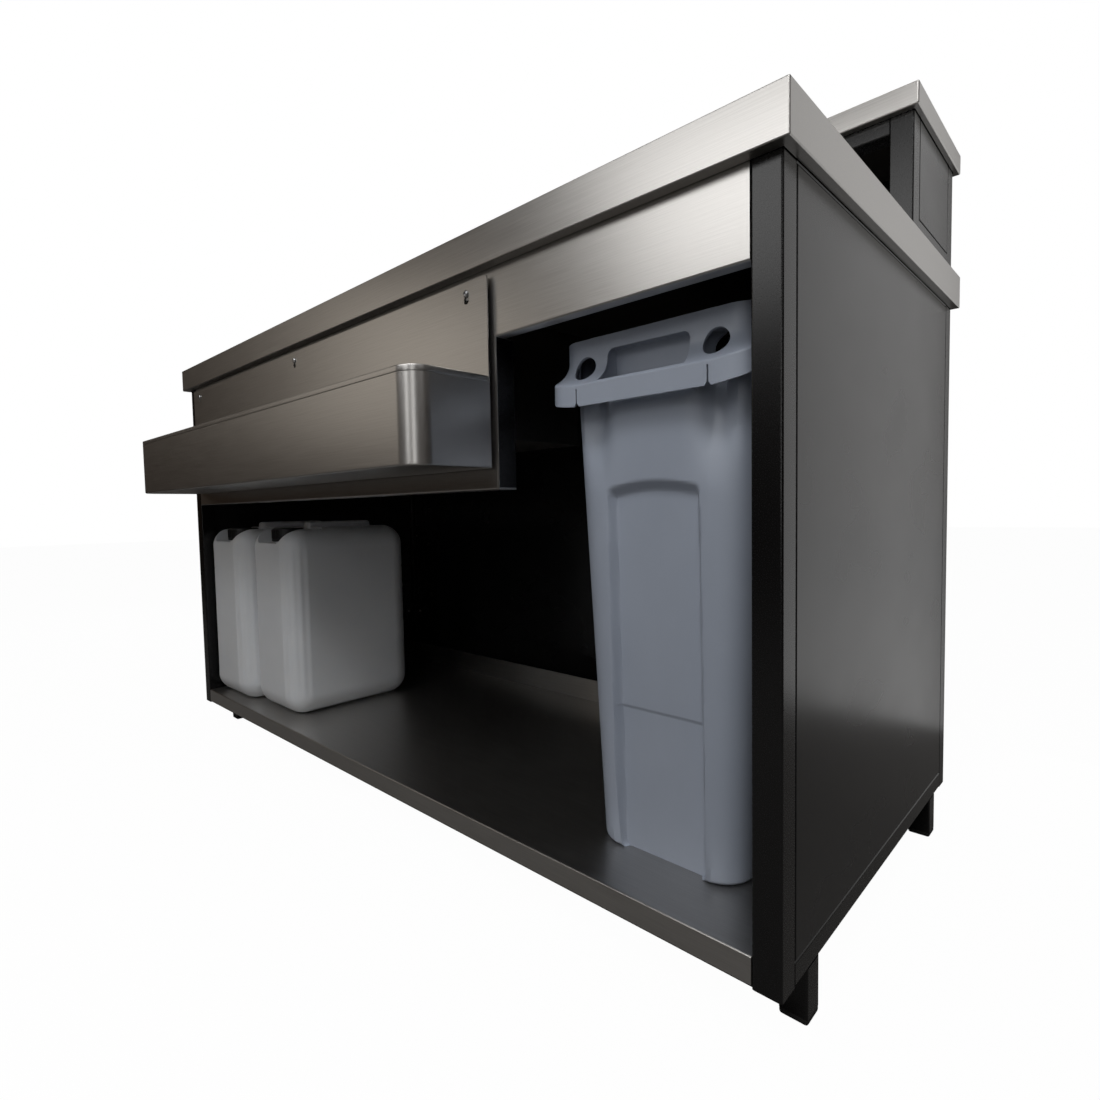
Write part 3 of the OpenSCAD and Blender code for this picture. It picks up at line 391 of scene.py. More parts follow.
frameTube = {"cornerRadius": 2.4, "shortest": 45}
tubeNodes = [
    "front_left_post", "front_right_post", "rear_left_post", "rear_right_post",
    "front_left_leg", "front_right_leg", "rear_left_leg", "rear_right_leg",
    "bottom_front_rail", "bottom_rear_rail", "bottom_left_rail", "bottom_right_rail",
    "top_front_rail", "top_rear_rail", "top_left_rail", "top_right_rail",
    "shelf_bearers", "fascia_post", "fascia_rail",
    "riser_left_frame", "riser_right_frame", "riser_cross_rails",
]


def camelName(node, ending):
    first, *others = node.split("_")
    return first + "".join(w.capitalize() for w in others) + ending


for node in tubeNodes:
    bm = copyOf(node)
    roundEdges(bm, bentEdges(bm, frameTube["shortest"]), frameTube["cornerRadius"])
    addPiece(camelName(node, "Tube"), bm, powderCoat, "counter", [node], isNew=False)
print("frame tubes made")


# Boards, with the eased edges of edge banding; the cores under the steel tops are cut plainer

boards = {"edge": 0.9, "edgeSegments": 3, "coreEdge": 0.6, "coreSegments": 2, "shortest": 17}
for node in ("left_side_panel", "right_side_panel", "back_panel",
             "riser_left_panel", "riser_right_panel", "riser_back_panel"):
    bm = copyOf(node)
    roundEdges(bm, bentEdges(bm, boards["shortest"]), boards["edge"], boards["edgeSegments"])
    addPiece(camelName(node, "Board"), bm, laminate, "counter", [node], isNew=False)
for node in ("worktop_board", "bar_board"):
    bm = copyOf(node)
    roundEdges(bm, bentEdges(bm, boards["shortest"]), boards["coreEdge"], boards["coreSegments"])
    addPiece(camelName(node, "Core"), bm, chipboard, "counter", [node], isNew=False)
print("boards made")


# Folded sheet. A fold is a line along which the copy of the node gets its bend radius.

# coat and shadeInset size the thin black sheet that paints shade on the fascia's steel end return
sheetMetal = {"thickness": 1.5, "fold": 2.2, "stepZ": 736, "coat": 0.2, "shadeInset": 2.4}
fasciaLow, fasciaHigh = nodeBox("fascia")
stepX = nodeBox("fascia_post")[1].x + sheetMetal["thickness"]
shelfTop = nodeBox("shelf_bearers")[1].z + sheetMetal["thickness"]
shelfBack = nodeBox("bottom_shelf")[1].y - sheetMetal["thickness"]
front = (1, fasciaLow.y)


def foldedPiece(name, node, finish, folds):
    bm = copyOf(node)
    picked = [e for e in bm.edges if any(onPlanes(e, planes) for planes in folds)]
    roundEdges(bm, picked, sheetMetal["fold"])
    addPiece(name, bm, finish, "counter", [node], isNew=False)


def boxFolds(node):
    low, high = nodeBox(node)
    sides = [(0, low.x), (0, high.x)]
    ends = [(1, low.y), (1, high.y)]
    levels = [(2, low.z), (2, high.z)]
    return [(a, b) for a in sides for b in ends] + [(a, b) for a in sides + ends for b in levels]


foldedPiece("worktopSheet", "worktop", steelAlongX, boxFolds("worktop"))
foldedPiece("barTopSheet", "bar_top", steelAlongX, boxFolds("bar_top"))
foldedPiece("fasciaSheet", "fascia", steelAlongX,
            [(front, (2, fasciaLow.z)), (front, (2, sheetMetal["stepZ"])), (front, (0, stepX))])
bm = bmesh.new()  # painted shade: a thin black sheet in the tube's powder coat lies on the steel end return, which sits in shadow
boxIn(bm, (stepX, fasciaLow.y + sheetMetal["shadeInset"], fasciaLow.z + sheetMetal["shadeInset"]),
      (stepX + sheetMetal["coat"], fasciaHigh.y, sheetMetal["stepZ"]))
addPiece("fasciaEndShade", bm, powderCoat, "counter")
foldedPiece("shelfSheet", "bottom_shelf", shelfSteel,
            [(front, (2, shelfTop)), ((1, shelfBack), (2, shelfTop))])
print("folded sheets made")


# Bottle rail: tray with rolled corners and a folded hem, back plate with keyholes

rail = {
    "sheet": 1.5, "cornerRadius": 30, "cornerSegments": 14, "bend": 2.5, "bendSegments": 3,
    "trayTop": 116, "hem": 8, "hemThick": 3, "hemSoft": 1.4,
    "plateRadius": 4, "plateSegments": 6, "plateSoft": 0.3,
    "keyPitch": 490, "keyDown": 15, "keyDrop": 8, "slotRadius": 3.5, "holeRadius": 5, "cutDepth": 8,
}
railLow, railHigh = nodeBox("speed_rail")
plateFront = railHigh.y - rail["sheet"]
keyZ = railHigh.z - rail["keyDown"]
keyXs = [(railLow.x + railHigh.x) / 2 + step * rail["keyPitch"] for step in (-1, 0, 1)]


# The tray's plan: a rectangle whose two front corners are rounded
def trayPlan(bm, z):
    corners = [bm.verts.new(p) for p in ((railLow.x, railLow.y, z), (railHigh.x, railLow.y, z),
                                         (railHigh.x, plateFront, z), (railLow.x, plateFront, z))]
    bm.faces.new(corners)
    roundCorners(bm, corners[:2], rail["cornerRadius"], rail["cornerSegments"])
    return [e for e in bm.edges if not onPlanes(e, [(1, plateFront)])]


bm = bmesh.new()
outline = trayPlan(bm, railLow.z)
raiseEdges(bm, outline, (0, 0, rail["trayTop"] - rail["hem"]))
roundEdges(bm, outline, rail["bend"], rail["bendSegments"])
addPiece("bottleTray", bm, railSteel, "speed_rail", ["speed_rail"], wall=rail["sheet"])

bm = bmesh.new()
outline = trayPlan(bm, railLow.z + rail["trayTop"] - rail["hem"])
floor = bm.faces[:]
raiseEdges(bm, outline, (0, 0, rail["hem"]))
bmesh.ops.delete(bm, geom=floor, context="FACES_ONLY")
for e in [e for e in bm.edges if not e.link_faces]:
    bm.edges.remove(e)
addPiece("bottleTrayHem", bm, railSteel, "speed_rail", wall=rail["hemThick"],
         soften=rail["hemSoft"])

bm = bmesh.new()
boxIn(bm, (railLow.x, plateFront, railLow.z), railHigh)
topCorners = [e for e in bm.edges if onPlanes(e, [(2, railHigh.z)])
              and e.calc_length() < 2 * rail["sheet"]]
roundEdges(bm, topCorners, rail["plateRadius"], rail["plateSegments"])
keyCutters = []
for x in keyXs:
    cutter = bmesh.new()
    centre = Vector((x, plateFront, keyZ))
    for radius, drop in ((rail["slotRadius"], 0), (rail["holeRadius"], rail["keyDrop"])):
        rodIn(cutter, radius, rail["cutDepth"], centre - Vector((0, 0, drop)), math.pi / 2)
    boxIn(cutter, centre - Vector((rail["slotRadius"], rail["cutDepth"] / 2, rail["keyDrop"])),
          centre + Vector((rail["slotRadius"], rail["cutDepth"] / 2, 0)))
    keyCutters.append(cutter)
addPiece("bottleRailPlate", bm, steelAlongX, "speed_rail", cutters=keyCutters,
         soften=rail["plateSoft"])

# Each stud's outline goes from its thread's end behind the sheet, over the nut, the collar and the
# neck in the keyhole, to the socket in its head
stud = {
    "steps": 20,
    "nutSide": [(0, 12.5), (2.6, 12.5), (3, 12), (3, 6.6), (5, 6.5), (5.6, 6), (5.6, 2), (5, 1.5),
                (3, 1.5), (3, 0)],
    "headSide": [(7.4, 0), (8, -0.6), (8, -5.1), (7.4, -5.7), (3, -5.7), (3, -7.8), (4.2, -7.8),
                 (4.5, -8.1), (4.3, -9.2), (3.4, -10.1), (1.7, -10.3), (1.5, -9.2), (0, -9.2)],
}
bm = bmesh.new()
for x in keyXs:
    spun(bm, stud["nutSide"] + stud["headSide"], (x, fasciaLow.y, keyZ), (0, 1, 0), stud["steps"])
addPiece("shoulderStuds", bm, zinc, "counter", ["rail_studs"])

pad = {"radius": 9, "steps": 28, "face": [(0, 0), (7.6, 0), (8.7, 0.9), (9, 2)]}
bm = bmesh.new()
low, high = nodeBox("rail_buffers")
thick = high.y - low.y
for x in (low.x + pad["radius"], high.x - pad["radius"]):
    spun(bm, pad["face"] + [(pad["radius"], thick), (0, thick)], (x, low.y, (low.z + high.z) / 2),
         (0, 1, 0), pad["steps"])
addPiece("bufferPads", bm, rubber, "counter", ["rail_buffers"])
print("bottle rail made")


# Rubber foot caps: a rounded sole below the tube, and the plug inside it

foot = {"sole": 7, "radius": 3.2, "plug": 25, "plugHeight": 24}
bm = bmesh.new()
for leg in ("front_left_leg", "front_right_leg", "rear_left_leg", "rear_right_leg"):
    low, high = nodeBox(leg)
    own = set(boxIn(bm, (low.x, low.y, 0), (high.x, high.y, foot["sole"])))
    roundEdges(bm, [e for e in bm.edges if own.issuperset(e.verts)
                    and not onPlanes(e, [(2, foot["sole"])])], foot["radius"])
    middle = (low + high) / 2
    half = foot["plug"] / 2
    boxIn(bm, (middle.x - half, middle.y - half, foot["sole"]),
          (middle.x + half, middle.y + half, foot["plugHeight"]))
addPiece("rubberFeet", bm, rubber, "counter", ["foot_caps"])


# Slim waste bin: tapered body with a recessed front, and a rim that sweeps out into two grips

slimBin = {
    "width": 279, "length": 558, "height": 632, "wall": 3, "longEdge": 90,
    # body: its foot, its mouth, and how finely its walls are divided
    "footWidth": 200, "footLength": 440, "footBack": 36, "topWidth": 263, "topLength": 516,
    "corner": 40, "cornerSegments": 8, "bottomRound": 9, "roundLevels": [1, 2.2, 4, 6.5],
    "columns": 56, "rows": 110, "frontDepth": 14,
    # recessed panel with an arched top, and the crease across it
    "panelHalf": 64, "panelTop": 452, "panelRise": 8, "panelDeep": 11, "panelSide": 9,
    "panelSoft": 15, "panelStep": 2, "panelFoot": 8,
    "creaseZ": 181, "creaseHalf": 2, "creaseDeep": 0.8, "creaseStep": 1.6,
    "creaseLevels": [-4.5, -3, -2, -1, 0, 1, 2, 3, 4.5],
    # channels that lead up to the deck holes, and the vents behind those
    "channelX": 82, "channelWide": 20, "channelDeep": 21, "channelLow": 440, "channelHigh": 555,
    "ventDeep": 16, "ventX": 91, "ventAt": 60, "ventUp": 21, "ventRadius": 22, "ventLength": 60,
    # room for the fingers behind the hand hole, with a cheek on each side of it
    "gripDeep": 17, "gripHalf": 62, "gripSide": 6, "gripSoft": 30,
    "cheekX": 62, "cheekWide": 5, "cheekSoft": 20, "cheekOut": 12, "cheekTop": 590, "cheekFade": 15,
    # rim: skirt, cove and mouth, and its rise towards the long sides
    "rimWall": 2.6, "rimCorner": 30, "rimSegments": 12, "rimColumns": 40, "edge": 3,
    "skirtZ": 549, "skirtTop": 575, "coveStart": 30, "coveEnd": 90, "coveHigh": 32, "coveStep": 6,
    "mouthGap": 0.4, "mouthDeep": 7, "mouthBand": 3, "mouthSoft": 16,
    "riseStart": 86, "riseLength": 200, "rise": 50,
    # hand hole, two deck holes and two slits at each end
    "handHalf": 56, "handLow": 59, "handFoot": 0.6, "handWaist": 16, "handTop": 40, "handCorner": 9,
    "handFrom": 3, "handLength": 34, "handSegments": 5,
    "holeX": 88, "holeY": 18.9, "holeUp": 20.5, "holeRadius": 15.5, "holeLean": 69,
    "holeLength": 24, "holeSegments": 36,
    "slitWide": 2, "slitHigh": 21, "slitDeep": 6, "slitPast": 4, "flareHigh": 4, "flareWide": 3.5,
}
s = slimBin
binLow, binHigh = nodeBox("waste_bin")
binPlace = Vector(((binLow.x + binHigh.x) / 2, binLow.y, binLow.z))


# A rectangle with rounded corners as one face, centred on x
def roundedFace(bm, width, length, y, z, radius, segments):
    corners = [bm.verts.new((sx * width / 2, y + sy * length, z))
               for sx, sy in ((-1, 0), (1, 0), (1, 1), (-1, 1))]
    bm.faces.new(corners)
    roundCorners(bm, corners, radius, segments)
    return bm.faces[:][0]


# Extrudes the top face to a new level, where it has a new size
def raiseFace(bm, face, z, width, length, y):
    xs, ys = [v.co.x for v in face.verts], [v.co.y for v in face.verts]
    oldX, oldY, oldLow = max(xs) - min(xs), max(ys) - min(ys), min(ys)
    made = bmesh.ops.extrude_face_region(bm, geom=[face])["geom"]
    for v in vertsOf(made):
        v.co = (v.co.x / oldX * width, y + (v.co.y - oldLow) / oldY * length, z)
    if face.is_valid:
        bm.faces.remove(face)
    return next(g for g in made if isinstance(g, bmesh.types.BMFace))


# How far an end wall of the body is pushed in at this place
def binFront(x, z):
    side = abs(x)
    top = s["panelTop"] + s["panelRise"] * math.cos(min(1, side / s["panelHalf"]) * math.pi / 2)
    panel = smooth((s["panelHalf"] - side) / s["panelSide"]) * smooth((top - z) / s["panelSoft"])
    groove = s["creaseDeep"] * smooth(1 - abs(z - s["creaseZ"]) / s["creaseHalf"])
    step = s["creaseStep"] * smooth((s["creaseZ"] - z) / s["creaseHalf"])
    channel = math.exp(-((side - s["channelX"]) / s["channelWide"]) ** 2)
    channel *= smooth((z - s["channelLow"]) / (s["channelHigh"] - s["channelLow"]))
    vent = s["ventDeep"] * smooth((z - s["channelHigh"]) / s["gripSoft"])
    grip = s["gripDeep"] * smooth((s["gripHalf"] - side) / s["gripSide"])
    grip *= smooth((z - s["skirtZ"]) / s["gripSoft"])
    cheek = smooth(1 - abs(side - s["cheekX"]) / s["cheekWide"])
    cheek *= smooth((z - s["skirtZ"]) / s["cheekSoft"])
    behind = max((s["channelDeep"] + vent) * channel * (1 - cheek), grip)
    behind *= smooth((s["height"] - s["mouthBand"] - z) / s["mouthSoft"])
    behind -= s["cheekOut"] * cheek * smooth((s["cheekTop"] - z) / s["cheekFade"])
    return (s["panelDeep"] + step + groove) * panel + behind


bm = bmesh.new()
face = roundedFace(bm, s["footWidth"], s["footLength"], s["footBack"], 0, s["corner"],
                   s["cornerSegments"])
footEnd = s["footBack"] + s["footLength"]
footMiddle = s["footBack"] + s["footLength"] / 2
topY = (s["length"] - s["topLength"]) / 2
raiseFace(bm, face, s["height"], s["topWidth"], s["topLength"], topY)
bmesh.ops.delete(bm, geom=[f for f in bm.faces if len(f.verts) > 4], context="FACES_ONLY")
ends = [e for e in bm.edges if e.calc_length() > s["longEdge"]
        and abs(e.verts[0].co.y - e.verts[1].co.y) < 1]
bmesh.ops.subdivide_edges(bm, edges=ends, cuts=s["columns"], use_grid_fill=True)
uprights = [e for e in bm.edges if abs(e.verts[0].co.z - e.verts[1].co.z) > s["longEdge"]]
bmesh.ops.subdivide_edges(bm, edges=uprights, cuts=s["rows"], use_grid_fill=True)
bottom = [e for e in bm.edges if e.is_boundary and onPlanes(e, [(2, 0)])]
bmesh.ops.contextual_create(bm, geom=bottom)
cutLevels(bm, s["roundLevels"] + [s["creaseZ"] + step for step in s["creaseLevels"]])
cutLevels(bm, range(s["panelTop"] - s["panelSoft"],
                    s["panelTop"] + s["panelRise"] + s["panelStep"], s["panelStep"]))
for v in bm.verts:
    lean = v.co.z / s["height"]
    nearY = s["footBack"] + (topY - s["footBack"]) * lean
    farY = footEnd + (s["length"] - topY - footEnd) * lean
    push = binFront(v.co.x, v.co.z)
    if abs(v.co.y - nearY) < s["frontDepth"]:
        v.co.y += push * smooth(1 - (v.co.y - nearY) / s["frontDepth"])
    elif abs(v.co.y - farY) < s["frontDepth"]:
        v.co.y -= push * smooth(1 - (farY - v.co.y) / s["frontDepth"])
    low = max(0, 1 - v.co.z / s["bottomRound"])
    inward = s["bottomRound"] * (1 - math.sqrt(1 - low * low))
    # the panel keeps a straight foot
    keep = 1 - smooth((s["panelHalf"] - abs(v.co.x)) / s["panelFoot"] + 0.5)
    v.co.x *= 1 - inward / (s["footWidth"] / 2)
    v.co.y += (footMiddle - v.co.y) / (s["footLength"] / 2) * inward * keep
vents = bmesh.new()  # the deck holes look on into the dark body
for y in (s["ventAt"], s["length"] - s["ventAt"]):
    for side in (-1, 1):
        rodIn(vents, s["ventRadius"], s["ventLength"],
              (side * s["ventX"], y, s["skirtTop"] + s["ventUp"]), math.pi / 2)
addPiece("binBody", moveAll(bm, binPlace), binPlastic, "waste_bin", ["waste_bin"], wall=s["wall"],
         cutters=[moveAll(vents, binPlace)])

bm = bmesh.new()
cap = roundedFace(bm, s["width"], s["length"], 0, s["skirtZ"], s["rimCorner"], s["rimSegments"])
levels = [(0, 0, s["skirtTop"])]
reachX, reachY = (s["width"] - s["topWidth"]) / 2, topY
startSine = math.sin(math.radians(s["coveStart"]))
startCosine = math.cos(math.radians(s["coveStart"]))
# A cove up from the grip, then a straight wall to the mouth, and back inside it
for turn in range(s["coveStart"] + s["coveStep"], s["coveEnd"] + 1, s["coveStep"]):
    a = math.radians(turn)
    inward = (math.sin(a) - startSine) / (1 - startSine)
    rise = s["coveHigh"] * (1 - math.cos(a) / startCosine)
    levels.append((reachX * inward, reachY * inward, s["skirtTop"] + rise))
levels.append((reachX, reachY, s["height"]))
mouthX, mouthY = (reach + s["wall"] + s["mouthGap"] for reach in (reachX, reachY))
levels += [(mouthX, mouthY, s["height"]), (mouthX, mouthY, s["height"] - s["mouthDeep"])]
for inX, inY, z in levels:
    cap = raiseFace(bm, cap, z, s["width"] - 2 * inX, s["length"] - 2 * inY, inY)
bmesh.ops.delete(bm, geom=[cap], context="FACES_ONLY")
bmesh.ops.subdivide_edges(bm, edges=[e for e in bm.edges if e.calc_length() > s["longEdge"]],
                          cuts=s["rimColumns"], use_grid_fill=True)
roundEdges(bm, [e for e in bm.edges if onPlanes(e, [(2, s["skirtTop"])])], s["edge"])
for v in bm.verts:  # from the grips the skirt rises round the corners to the long sides
    endY = min(v.co.y, s["length"] - v.co.y)
    along = max(0, abs(v.co.x) - s["riseStart"]) + max(0, endY - s["edge"])
    share = 1 - smooth((v.co.z - s["skirtZ"]) / (s["height"] - s["skirtZ"]))
    if abs(v.co.x) > s["riseStart"]:
        v.co.z += s["rise"] * smooth(along / s["riseLength"]) * share


def rimCutter():
    bm = bmesh.new()
    handle = [(-s["handLow"], s["handFoot"]), (s["handLow"], s["handFoot"]),
              (s["handHalf"], s["handWaist"]), (s["handHalf"], s["handTop"]),
              (-s["handHalf"], s["handTop"]), (-s["handHalf"], s["handWaist"])]
    corners = [bm.verts.new((x, s["handFrom"], s["skirtTop"] + z)) for x, z in handle]
    bm.faces.new(corners)
    roundCorners(bm, corners[2:], s["handCorner"], s["handSegments"])
    thicken(bm, (0, s["handLength"], 0))
    for side in (-1, 1):
        x, half = side * s["holeX"], s["slitWide"] / 2
        rodIn(bm, s["holeRadius"], s["holeLength"], (x, s["holeY"], s["skirtTop"] + s["holeUp"]),
              math.radians(s["holeLean"]), s["holeSegments"])
        boxIn(bm, (x - half, -s["slitPast"], s["skirtZ"] - s["slitPast"]),
              (x + half, s["slitDeep"], s["skirtZ"] + s["slitHigh"]))
        flare = boxIn(bm, (x - half, -s["slitPast"], s["skirtZ"] - 1),
                      (x + half, s["slitDeep"], s["skirtZ"] + s["flareHigh"]))
        for v in flare:
            if v.co.z < s["skirtZ"]:
                v.co.x += math.copysign(s["flareWide"], v.co.x - x)
    return bm


nearCutter, farCutter = rimCutter(), rimCutter()
bmesh.ops.scale(farCutter, vec=(1, -1, 1), verts=farCutter.verts)
moveAll(farCutter, (0, s["length"], 0))
addPiece("binRim", moveAll(bm, binPlace), binPlastic, "waste_bin", wall=s["rimWall"],
         cutters=[moveAll(cutter, binPlace) for cutter in (nearCutter, farCutter)])
print("waste bin made")


# Canisters: blow moulded, with fluted front corners, a recess for the cap and a carrying grip

canister = {
    "width": 198, "length": 290, "height": 398, "radius": 44, "segments": 24, "crisp": 50,
    "levels": [44, 58, 72, 200, 298, 301, 304, 330, 344, 358], "stepZ": 301, "stepDeep": 0.8,
    "fluteDepth": 1.5, "fluteAngles": (14, 34, 54, 74), "fluteWidth": 7, "fluteLow": 30,
    "fluteHigh": 372, "fluteFade": 40,
    # the recess for the cap, the grip and the pocket below it
    "recessZ": 366, "recessLow": 49, "recessHigh": 84, "recessBack": 92, "recessRound": 7,
    "gripZ": 384, "gripTop": 410, "gripHalf": 15, "gripFront": 88, "gripBack": 242, "gripRound": 7,
    "pocketHalf": 50, "pocketFront": 100, "pocketBack": 230, "pocketZ": 352, "pocketTop": 418,
    "pocketRound": 9, "past": 5,
    # the neck with its thread, and the cap's outline from its rim up
    "neckY": 48, "neckZ": 364, "neckRadius": 30, "neckBore": 24, "neckHigh": 29, "neckFoot": 6,
    "neckLip": 1, "neckSteps": 40, "threadTurns": 6, "threadPitch": 3.2, "threadDeep": 1.2,
    "capZ": 369, "capSteps": 48,
    "capOutline": [(30.5, 0), (33.2, 0), (33.6, 0.6), (33.6, 5), (32.6, 5.6), (32.6, 24.5),
                   (31.6, 27), (29.5, 28), (24, 28), (23.2, 27.2), (0, 27.2)],
    "ribs": 36, "ribIn": 32.2, "ribOut": 33.9, "ribHalf": 0.9, "ribLow": 6, "ribHigh": 25,
}
c = canister


def canisterBody():
    bm = bmesh.new()
    boxIn(bm, (-c["width"] / 2, 0, 0), (c["width"] / 2, c["length"], c["height"]))
    roundEdges(bm, bm.edges[:], c["radius"], c["segments"])
    cutLevels(bm, c["levels"])
    flatX = c["width"] / 2 - c["radius"]
    for v in bm.verts:
        out = Vector((abs(v.co.x) - flatX, c["radius"] - v.co.y, 0))
        if abs(v.co.z - c["stepZ"]) < 1:  # the mould's shallow step
            middle = Vector((0, c["length"] / 2, v.co.z))
            v.co += (middle - v.co).normalized() * c["stepDeep"]
        if out.x < 0 or out.y < 0:
            continue
        angle = math.degrees(math.atan2(out.y, out.x))
        dip = sum(math.exp(-((angle - a) / c["fluteWidth"]) ** 2) for a in c["fluteAngles"])
        dip *= smooth((v.co.z - c["fluteLow"]) / c["fluteFade"])
        dip *= smooth((c["fluteHigh"] - v.co.z) / c["fluteFade"])
        out.x = math.copysign(out.x, v.co.x)
        out.y = -out.y
        v.co -= out.normalized() * c["fluteDepth"] * dip
    return bm


def canisterCutters():
    recess = bmesh.new()
    shape = [(-c["recessLow"], c["recessZ"]), (c["recessLow"], c["recessZ"]),
             (c["recessHigh"], c["gripTop"]), (-c["recessHigh"], c["gripTop"])]
    recess.faces.new([recess.verts.new((x, -c["past"], z)) for x, z in shape])
    thicken(recess, (0, c["recessBack"] + c["past"], 0))
    roundEdges(recess, [e for e in recess.edges if min(v.co.y for v in e.verts) > 0
                        or onPlanes(e, [(2, c["recessZ"])])], c["recessRound"])
    pocket = bmesh.new()
    boxIn(pocket, (-c["pocketHalf"], c["pocketFront"], c["pocketZ"]),
          (c["pocketHalf"], c["pocketBack"], c["pocketTop"]))
    roundEdges(pocket, [e for e in pocket.edges if not onPlanes(e, [(2, c["pocketTop"])])],
               c["pocketRound"])
    return recess, pocket


def neckShape(bm):
    radius, foot = c["neckRadius"], c["neckFoot"]
    outline = [(0, 0), (radius, 0), (radius, foot)]
    outline += [(radius - c["threadDeep"] * (i % 2), foot + c["threadPitch"] * i)
                for i in range(1, c["threadTurns"] + 1)]
    outline += [(radius - c["neckLip"], c["neckHigh"] - c["neckLip"]),
                (c["neckBore"], c["neckHigh"]), (c["neckBore"], foot), (0, foot)]
    spun(bm, outline, (0, c["neckY"], c["neckZ"]), (0, 0, 1), c["neckSteps"])


def capShape(bm):
    spun(bm, c["capOutline"], (0, c["neckY"], c["capZ"]), (0, 0, 1), c["capSteps"])
    for i in range(c["ribs"]):  # grip ribs
        turn = Matrix.Rotation(2 * math.pi * i / c["ribs"], 3, "Z")
        rib = boxIn(bm, (c["ribIn"], -c["ribHalf"], c["capZ"] + c["ribLow"]),
                    (c["ribOut"], c["ribHalf"], c["capZ"] + c["ribHigh"]))
        for v in rib:
            v.co = turn @ v.co + Vector((0, c["neckY"], 0))


for side in ("left", "right"):
    node = side + "_canister"
    low, high = nodeBox(node)
    place = Vector(((low.x + high.x) / 2, low.y, low.z))
    addPiece(side + "CanisterShell", moveAll(canisterBody(), place), naturalPlastic, node, [node],
             cutters=[moveAll(cutter, place) for cutter in canisterCutters()], crisp=c["crisp"])
    bm = bmesh.new()
    boxIn(bm, (-c["gripHalf"], c["gripFront"], c["gripZ"]),
          (c["gripHalf"], c["gripBack"], c["gripTop"]))
    roundEdges(bm, bm.edges[:], c["gripRound"])
    neckShape(bm)
    addPiece(side + "CanisterGrip", moveAll(bm, place), naturalPlastic, node, crisp=c["crisp"])
    bm = bmesh.new()
    capShape(bm)
    addPiece(side + "ScrewCap", moveAll(bm, place), capPlastic, side + "_cap", [side + "_cap"])
print("canisters made")


# Ice well: liner with rounded corners, perforated false bottom, lid with a bent rod handle

well = {
    "sheet": 1.5, "rim": 15, "corner": 14, "cornerSegments": 6, "leastDepth": 100, "slack": 0.1,
    "lidCorner": 12, "rod": 4, "rodSegments": 16, "rodBend": 12, "rodSteps": 8,
}
bm = copyOf("well_liner")
low, high = nodeBox("well_liner")
middle, half = (low + high) / 2, (high - low) / 2
for skin in (0, well["sheet"]):  # the upright corners of the inner skin, then of the outer one
    reach = half - Vector((well["rim"] - skin, well["rim"] - skin, 0))
    walls = [e for e in bm.edges if abs(e.verts[0].co.z - e.verts[1].co.z) > well["leastDepth"]
             and abs(abs(e.verts[0].co.x - middle.x) - reach.x) < well["slack"]
             and abs(abs(e.verts[0].co.y - middle.y) - reach.y) < well["slack"]]
    roundEdges(bm, walls, well["corner"], well["cornerSegments"])
addPiece("wellLiner", bm, steelAlongX, "counter", ["well_liner"], isNew=False)

bm = copyOf("well_lid")
low, high = nodeBox("well_lid")
middle, half = (low + high) / 2, (high - low) / 2
corners = [e for e in bm.edges if e.calc_length() < 2 and abs(e.verts[0].co.z - e.verts[1].co.z) > 1
           and abs(abs(e.verts[0].co.x - middle.x) - half.x) < well["slack"]]
roundEdges(bm, corners, well["lidCorner"], well["cornerSegments"])
addPiece("wellLid", bm, steelAlongX, "well_lid", ["well_lid"], isNew=False)


def bendRod(bm, edges, centre):
    made = bmesh.ops.spin(bm, geom=edges + list({v for e in edges for v in e.verts}), cent=centre,
                          axis=(0, 1, 0), angle=math.pi / 2, steps=well["rodSteps"],
                          use_merge=False)["geom_last"]
    return edgesOf(made)


bm = bmesh.new()
low, high = nodeBox("lid_handle")
middleY = (low.y + high.y) / 2
bendZ = high.z - well["rod"] - well["rodBend"]
bendXs = [low.x + well["rod"] + well["rodBend"], high.x - well["rod"] - well["rodBend"]]
bmesh.ops.create_circle(bm, cap_ends=True, segments=well["rodSegments"], radius=well["rod"],
                        matrix=Matrix.Translation((low.x + well["rod"], middleY, low.z)))
ring = [e for e in raiseEdges(bm, bm.edges[:], (0, 0, bendZ - low.z)) if onPlanes(e, [(2, bendZ)])]
ring = bendRod(bm, ring, (bendXs[0], middleY, bendZ))
ring = [e for e in raiseEdges(bm, ring, (bendXs[1] - bendXs[0], 0, 0))
        if onPlanes(e, [(0, bendXs[1])])]
ring = bendRod(bm, ring, (bendXs[1], middleY, bendZ))
raiseEdges(bm, ring, (0, 0, low.z - bendZ))
addPiece("lidHandleRod", bm, steelAlongX, "well_lid", ["lid_handle"])
print("ice well made")


# The other CAD nodes keep their shape and get their finish

plainNodes = {
    "panel_cleats": powderCoat, "panel_screws": zinc, "top_bolts": zinc, "fascia_screws": zinc,
    "riser_bolts": zinc, "well_insulation": foam, "well_jacket": steelAlongX,
    "false_bottom": steelAlongX, "drain_pipe": steelAlongY, "drain_valve": brass,
    "valve_ball": chrome, "valve_lever": vinyl,
}
for node, finish in plainNodes.items():
    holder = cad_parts[node]
    holder.data.materials.clear()
    holder.data.materials.append(finish["material"])
print("other nodes dressed")


# Stage, in metres: a floor and surroundings that are white to the eye, while the steel mirrors a
# grey floor, a dim warm room and the lamps

